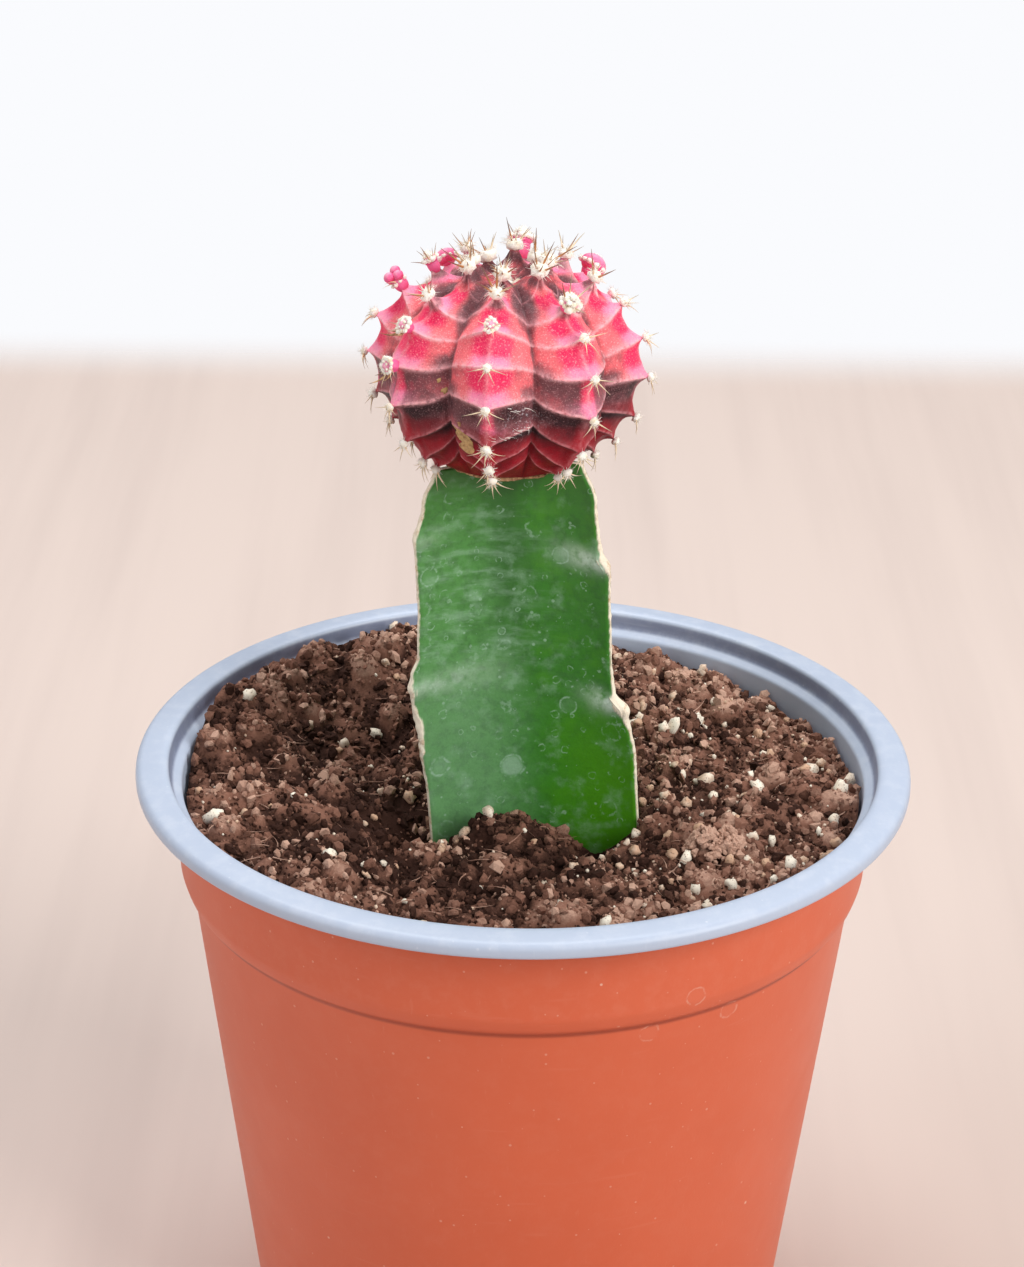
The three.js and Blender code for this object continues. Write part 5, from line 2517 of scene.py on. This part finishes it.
        callus.wrap(self.callus_columns, self.callus_rows, place)
        callus.finish([self.crust.material()], Slot.HEAD, "scion")

    def build(self) -> None:
        """Makes the head and all that grows on it."""
        self._head()
        self._callus()
        self._tufts()
        self._spines()
        self._offsets()


@dataclass(frozen=True)
class PhotoCamera:
    """The camera, standing and looking as the photograph's did."""

    place: tuple[float, float, float] = (-1.98, -444.92, 326.46)
    pitch: float = 65.409
    roll: float = 0.697
    lens: float = 90.92
    sensor: float = 36.0

    def build(self) -> None:
        """Adds the camera and makes it the scene's own."""
        data = bpy.data.cameras.new("photo_camera")
        data.lens = self.lens
        data.sensor_width = self.sensor
        data.clip_start = 10 * MM
        camera = bpy.data.objects.new("photo_camera", data)
        pitched = Matrix.Rotation(math.radians(self.pitch), 4, "X")
        rolled = Matrix.Rotation(math.radians(self.roll), 4, "Z")
        camera.matrix_world = Matrix.Translation(Vector(self.place) * MM) @ pitched @ rolled
        bpy.context.scene.collection.objects.link(camera)
        bpy.context.scene.camera = camera


@dataclass(frozen=True)
class Softbox:
    """A square area light: where it stands, where it aims, its side and its power in watts."""

    name: str
    place: tuple[float, float, float]
    aim: tuple[float, float, float]
    side: float
    power: float
    colour: tuple[float, float, float] = (1.0, 1.0, 1.0)

    def build(self) -> None:
        """Adds the light."""
        data = bpy.data.lights.new(self.name, "AREA")
        data.shape = "SQUARE"
        data.size = self.side * MM
        data.energy = self.power
        data.color = self.colour
        light = bpy.data.objects.new(self.name, data)
        light.location = Vector(self.place) * MM
        light.rotation_euler = (Vector(self.aim) - Vector(self.place)).to_track_quat("-Z", "Y").to_euler()
        bpy.context.scene.collection.objects.link(light)


@dataclass(frozen=True)
class Studio:
    """A pale floor under a bright even sky, with soft boxes."""

    floor_far: float = 489.0
    floor_fade: float = 46.0
    floor_near: float = -1500.0
    floor_half_width: float = 1600.0
    floor_colour: Colour = srgb(212, 195, 186)
    floor_grain: Colour = srgb(198, 181, 173)
    # Painted shade for the near right corner
    floor_corner_shade: Colour = srgb(190, 172, 162)
    backdrop: Colour = srgb(250, 251, 254)
    sky: float = 0.33
    lights: tuple[Softbox, ...] = (
        Softbox("key", (1180, -900, 980), (0, 0, 110), 1000, 26.0, (1.0, 0.99, 0.97)),
        Softbox("fill", (-1150, -780, 700), (0, 0, 100), 1200, 6.8),
        Softbox("top", (-100, 450, 1400), (0, 0, 120), 900, 14.6),
    )

    def _paint(self) -> bpy.types.Material:
        """The floor's paint: faint streaks, painted shade in the near right corner, and a far edge that
        fades into the backdrop.

        Returns:
            The paint's material.
        """
        material = bpy.data.materials.new("floor_paint")
        material.use_nodes = True
        graph = Graph(material.node_tree)
        grain = graph.noise(graph.position((1.0, 0.06, 1.0)), 30.0, 4.0, 0.6)
        colour = graph.mix(graph.ease(grain, 0.4, 0.72, 0.55), self.floor_colour, self.floor_grain)
        # Painted shade: the near right corner is darkened where the light would fall off
        corner = graph.add("VectorMath", {0: graph.position(), 1: (0.7, -0.7, 0.0)}, operation="DOT_PRODUCT")
        darker = graph.ease(corner.outputs["Value"], -45.0, 105.0, 0.9)
        along = graph.part(graph.position(), 1)
        graph.feed(material.node_tree.nodes["Principled BSDF"], {
            "Base Color": graph.mix(darker, colour, self.floor_corner_shade),
            "Alpha": graph.ease(along, self.floor_far, self.floor_far - self.floor_fade),
            "Roughness": 0.6,
        })
        return material

    def _floor(self) -> None:
        """Lays the floor, which ends behind the plant."""
        sheet = bmesh.new()
        bmesh.ops.create_grid(sheet, x_segments=1, y_segments=1, size=1)
        half_depth = (self.floor_far - self.floor_near) / 2
        bmesh.ops.scale(sheet, vec=(self.floor_half_width, half_depth, 1), verts=sheet.verts)
        bmesh.ops.translate(sheet, vec=(0, self.floor_far - half_depth, 0), verts=sheet.verts)
        bmesh.ops.scale(sheet, vec=(MM, MM, MM), verts=sheet.verts)
        shape = bpy.data.meshes.new("floor")
        sheet.to_mesh(shape)
        sheet.free()
        shape.materials.append(self._paint())
        floor = bpy.data.objects.new("floor", shape)
        bpy.context.scene.collection.objects.link(floor)

    def _sky(self) -> None:
        """Adds an even sky that the camera sees bright, and that lights the plant less than it shows."""
        world = bpy.data.worlds.new("studio_sky")
        world.use_nodes = True
        graph = Graph(world.node_tree)
        shown = graph.add("LightPath").outputs["Is Camera Ray"]
        strength = graph.plus(graph.times(shown, 1 - self.sky), self.sky)
        graph.feed(world.node_tree.nodes["Background"], {"Color": self.backdrop, "Strength": strength})
        bpy.context.scene.world = world

    def build(self) -> None:
        """Adds the floor, the sky and the lights, and shows colours plainly."""
        self._floor()
        self._sky()
        for light in self.lights:
            light.build()
        bpy.context.scene.view_settings.view_transform = "Standard"


WINGS = (
    Wing(
        angle=60,
        edge=((-3, 18.8), (4, 18.9), (11, 17.9), (13.5, 15.9), (18, 15.6), (27, 15.9), (33.5, 16.2),
              (36.5, 14.9), (44, 14.5), (49, 12.6)),
        nodes=(12, 35),
        margin=((-3, 0.34), (8, 0.4), (10, 1.0), (11.5, 2.1), (12.6, 1.5), (14, 0.55), (17, 0.32),
                (33, 0.32), (34.4, 1.0), (35.4, 1.2), (36.5, 0.5), (49, 0.3)),
        frost=((4.0, 1.0), (5.0, 0.8)),
    ),
    Wing(
        angle=180,
        edge=((-3, 18.4), (6, 18.6), (18, 18.8), (21, 16.6), (30, 16.4), (38, 16.6), (41, 15.2), (46, 14.6),
              (49, 13)),
        nodes=(19.5, 39.5),
        margin=((-3, 0.5), (49, 0.5)),
        frost=((4.0, 0.6), (4.0, 0.6)),
    ),
    Wing(
        angle=300,
        edge=((-3, 18.4), (5, 19), (13, 19.7), (17, 19.4), (20, 18), (28, 17.3), (36, 17.1), (39, 16.7),
              (44, 15.2), (49, 12.8)),
        nodes=(15, 38.5),
        margin=((-3, 0.36), (3, 0.4), (4.5, 0.9), (9, 1.15), (11.5, 0.9), (12.5, 0.5), (14.4, 1.0),
                (16, 0.6), (18, 0.34), (36, 0.34), (38.4, 0.6), (41, 0.62), (45, 0.5), (49, 0.4)),
        frost=((9.0, 0.36), (2.0, 0.2)),
    ),
)

SOIL_FORMS = (
    SoilForm(-47, 18, 7, 15),
    SoilForm(-36, 36, 4.5, 13),
    SoilForm(-20, 46, 5.5, 12),
    SoilForm(-29, 16, -6, 11),
    SoilForm(-6, -13, 3.4, 4.5),
    SoilForm(2.5, -13, 3.6, 4.5),
    SoilForm(-16.8, -11.5, -14, 5.8),
    SoilForm(10, -12, -10.5, 5),
    SoilForm(0, 0, -4, 14),
    SoilForm(-30, -27, 2.5, 7),
    SoilForm(30, -14, 2.5, 6),
    SoilForm(44, -4, 2, 10),
    SoilForm(18, 44, 2, 12),
)

# Large perlite grains: x, y, radius and how stained each is
LARGE_GRAINS = (
    (-47.5, -11.6, 1.9, 0.1),
    (-45.6, -12.4, 1.3, 0.3),
    (51.0, 2.1, 1.7, 0.5),
    (24.3, 19.7, 1.6, 0.3),
    (22.7, 19.0, 1.2, 0.5),
    (28.4, 24.6, 1.4, 0.1),
    (36.6, 0.0, 1.5, 0.4),
    (28.6, 2.2, 1.5, 0.6),
    (45.8, 7.8, 1.3, 0.5),
    (24.5, -22.5, 1.6, 0.3),
    (25.6, -31.7, 1.1, 0.0),
    (-44.0, 17.1, 1.1, 0.4),
    (-28.7, -26.0, 1.2, 0.2),
    (-6.3, -31.0, 0.9, 0.2),
    (5.5, -38.2, 1.0, 0.2),
    (-22.0, 50.0, 1.2, 0.5),
    (30.0, 41.0, 1.3, 0.6),
    (49.2, -4.1, 1.4, 0.4),
    (39.8, -26.8, 1.2, 0.3),
)

BUDS = (
    Bud(0, 2, BudStyle.ROSETTE, 1.1, 0.3),
    Bud(1, 1, BudStyle.FLUFFY, 1.55, 0.4),
    Bud(3, 2, BudStyle.DOME, 1.7, 0.7),
    Bud(4, 1, BudStyle.FLUFFY, 1.8, 1.2),
    Bud(5, 2, BudStyle.DOME, 1.45, 0.4),
    Bud(6, 1, BudStyle.FLUFFY, 1.2, 0.8),
    Bud(6, 2, BudStyle.GLOBES, 1.4, 0.5),
    Bud(7, 2, BudStyle.ROSETTE, 1.2, 0.5, withered=True),
    Bud(7, 3, BudStyle.ROSETTE, 1.3, 0.6, withered=True),
)

# Dried drops on the pot's front, by its crease
POT_DROPS = (
    (18.5, -47.9, 81.7),
    (30.3, -41.6, 82.0),
    (25.3, -47.4, 87.3),
)

# Dried drops on the stem's front face: the place, the radius and how filled each is
STEM_DROPS = (
    (-13.2, -7.8, 104.3, 1.9, 0.3),
    (-1.7, -6.6, 103.6, 1.8, 0.8),
    (6.7, -6.8, 114.0, 1.3, 0.15),
    (5.0, -6.0, 138.4, 1.3, 0.35),
    (-14.6, -7.8, 135.7, 1.5, 0.1),
    (-3.5, -6.2, 125.9, 0.8, 0.3),
)

# Dried scabs and dusty spots on the head: the middle and the radius of each
SCABS = (
    ((-9.3, -15.5, 161.1), 1.65),
    ((-8.8, -15.4, 159.3), 1.4),
    ((-10.2, -15.1, 162.2), 0.8),
    ((-12.0, -14.2, 167.3), 0.6),
    ((-12.9, -13.9, 168.9), 0.45),
    ((-9.9, -16.2, 163.3), 0.35),
)
POWDERS = (
    ((-1.0, -17.0, 164.0), 2.6),
    ((-1.5, -18.4, 167.4), 1.8),
)

# Where lint lies on the head: the rib, how far across it, and the latitude
LINT = (
    (0, 0.2, -20),
    (0, 0.35, -21),
    (0, 0.5, -21),
    (0, 0.65, -20),
    (0, 0.85, -19),
    (0, 0.5, -4),
    (0, 0.7, -6),
)


def make_pot(effects: Effects) -> NurseryPot:
    """The pot, sized by the model's own.

    Args:
        effects: The shared effects.

    Returns:
        The pot with its two finishes.
    """
    low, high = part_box("pot")
    height = high.z / MM
    crease = PaintedShade((-20.5, -19.9), (-19.6, -18.6), srgb(166, 70, 44))
    under_lip = PaintedShade((-5.5, -3.2), (-0.2, 0.0), srgb(180, 76, 46))
    groove = PaintedShade((-3.0, -2.6), (-0.9, -0.4), srgb(126, 134, 158))
    terracotta = PotPlastic(
        "terracotta_plastic", 0.42, effects, colour=srgb(207, 96, 62), deep=srgb(199, 89, 56),
        pale=srgb(225, 180, 160), rim=height, painted_shade=(crease, under_lip), scuffing=0.12, drops=POT_DROPS,
    )
    grey = PotPlastic(
        "grey_plastic", 0.38, effects, colour=srgb(176, 187, 206), deep=srgb(168, 179, 199),
        pale=srgb(205, 210, 220), rim=height, painted_shade=(groove,),
    )
    return NurseryPot(height, (high.y - low.y) / 2 / MM, terracotta, grey)


def make_stem(effects: Effects, rim_plane: float) -> Rootstock:
    """The stem.

    Args:
        effects: The shared effects.
        rim_plane: Height of the pot's rim.

    Returns:
        The stem with its skin.
    """
    skin = StemSkin(
        "stem_skin", 0.46, effects,
        green=srgb(49, 119, 25), deep=srgb(33, 82, 29), bright=srgb(66, 136, 4), waxy=srgb(78, 139, 66),
        bloom=srgb(164, 198, 172), frost=srgb(216, 232, 218),
        cork=srgb(242, 230, 208), cork_brown=srgb(196, 160, 120), drops=STEM_DROPS,
    )
    return Rootstock(rim_plane, WINGS, skin)


def make_soil(effects: Effects, pot: NurseryPot, stem: Rootstock) -> PottingSoil:
    """The potting mix.

    Args:
        effects: The shared effects.
        pot: The pot that it fills.
        stem: The stem that it is heaped round.

    Returns:
        The mix with its two finishes.
    """
    peat = PeatMix(
        "peat_mix", 0.95, effects, damp_and_shade=srgb(55, 32, 24), middle=srgb(133, 93, 77), dry=srgb(196, 158, 138),
    )
    grit = Perlite(
        "perlite_grains", 0.85, effects,
        white=srgb(236, 226, 208), stained=srgb(196, 158, 130), pores=srgb(150, 116, 96),
    )
    return PottingSoil(pot, stem, peat, grit, SOIL_FORMS, LARGE_GRAINS)


def make_head(effects: Effects, graft_height: float) -> GraftedHead:
    """The head.

    Args:
        effects: The shared effects.
        graft_height: Height of the stem's cut top.

    Returns:
        The head with all its finishes.
    """
    return GraftedHead(
        graft_height,
        skin=HeadSkin(
            "head_skin", 0.5, effects,
            coral=srgb(238, 106, 114), hot=srgb(243, 40, 96), blush=srgb(253, 136, 176),
            crimson=srgb(156, 12, 32), dusk_and_shade=srgb(118, 68, 74), night_and_shade=srgb(46, 25, 30),
            wine=srgb(110, 24, 34), ridge=srgb(255, 188, 194), papilla=srgb(255, 196, 198),
            scab=srgb(206, 170, 118), scab_brown=srgb(158, 116, 74), dust_grey=srgb(206, 200, 206),
        ),
        wool=Wool("areole_wool", 0.9, effects, cream=srgb(255, 251, 242), yellowed=srgb(240, 218, 178)),
        horn=SpineHorn(
            "spine_horn", 0.5, effects,
            root=srgb(216, 172, 120), straw=srgb(242, 222, 188), tip=srgb(94, 74, 66),
            amber=srgb(194, 128, 72),
        ),
        bud_skin=BudSkin(
            "bud_skin", 0.5, effects,
            pink=srgb(238, 98, 152), pale=srgb(254, 196, 212), deep=srgb(212, 50, 92),
        ),
        crust=DryCrust("dry_crust", 0.9, effects, tan=srgb(196, 156, 112), brown=srgb(104, 66, 46)),
        buds=BUDS, scabs=SCABS, powders=POWDERS, lint=LINT,
    )


def main() -> None:
    """Builds the camera and the studio, and then the plant from its pot upwards."""
    logging.basicConfig(level=logging.INFO, format="%(name)s: %(message)s")
    effects = Effects()
    PhotoCamera().build()
    Studio().build()
    pot = make_pot(effects)
    stem = make_stem(effects, pot.height)
    soil = make_soil(effects, pot, stem)
    head = make_head(effects, stem.top)
    for sub_assembly in (pot, stem, soil, head):
        sub_assembly.build()


if __name__ == "__main__":
    main()
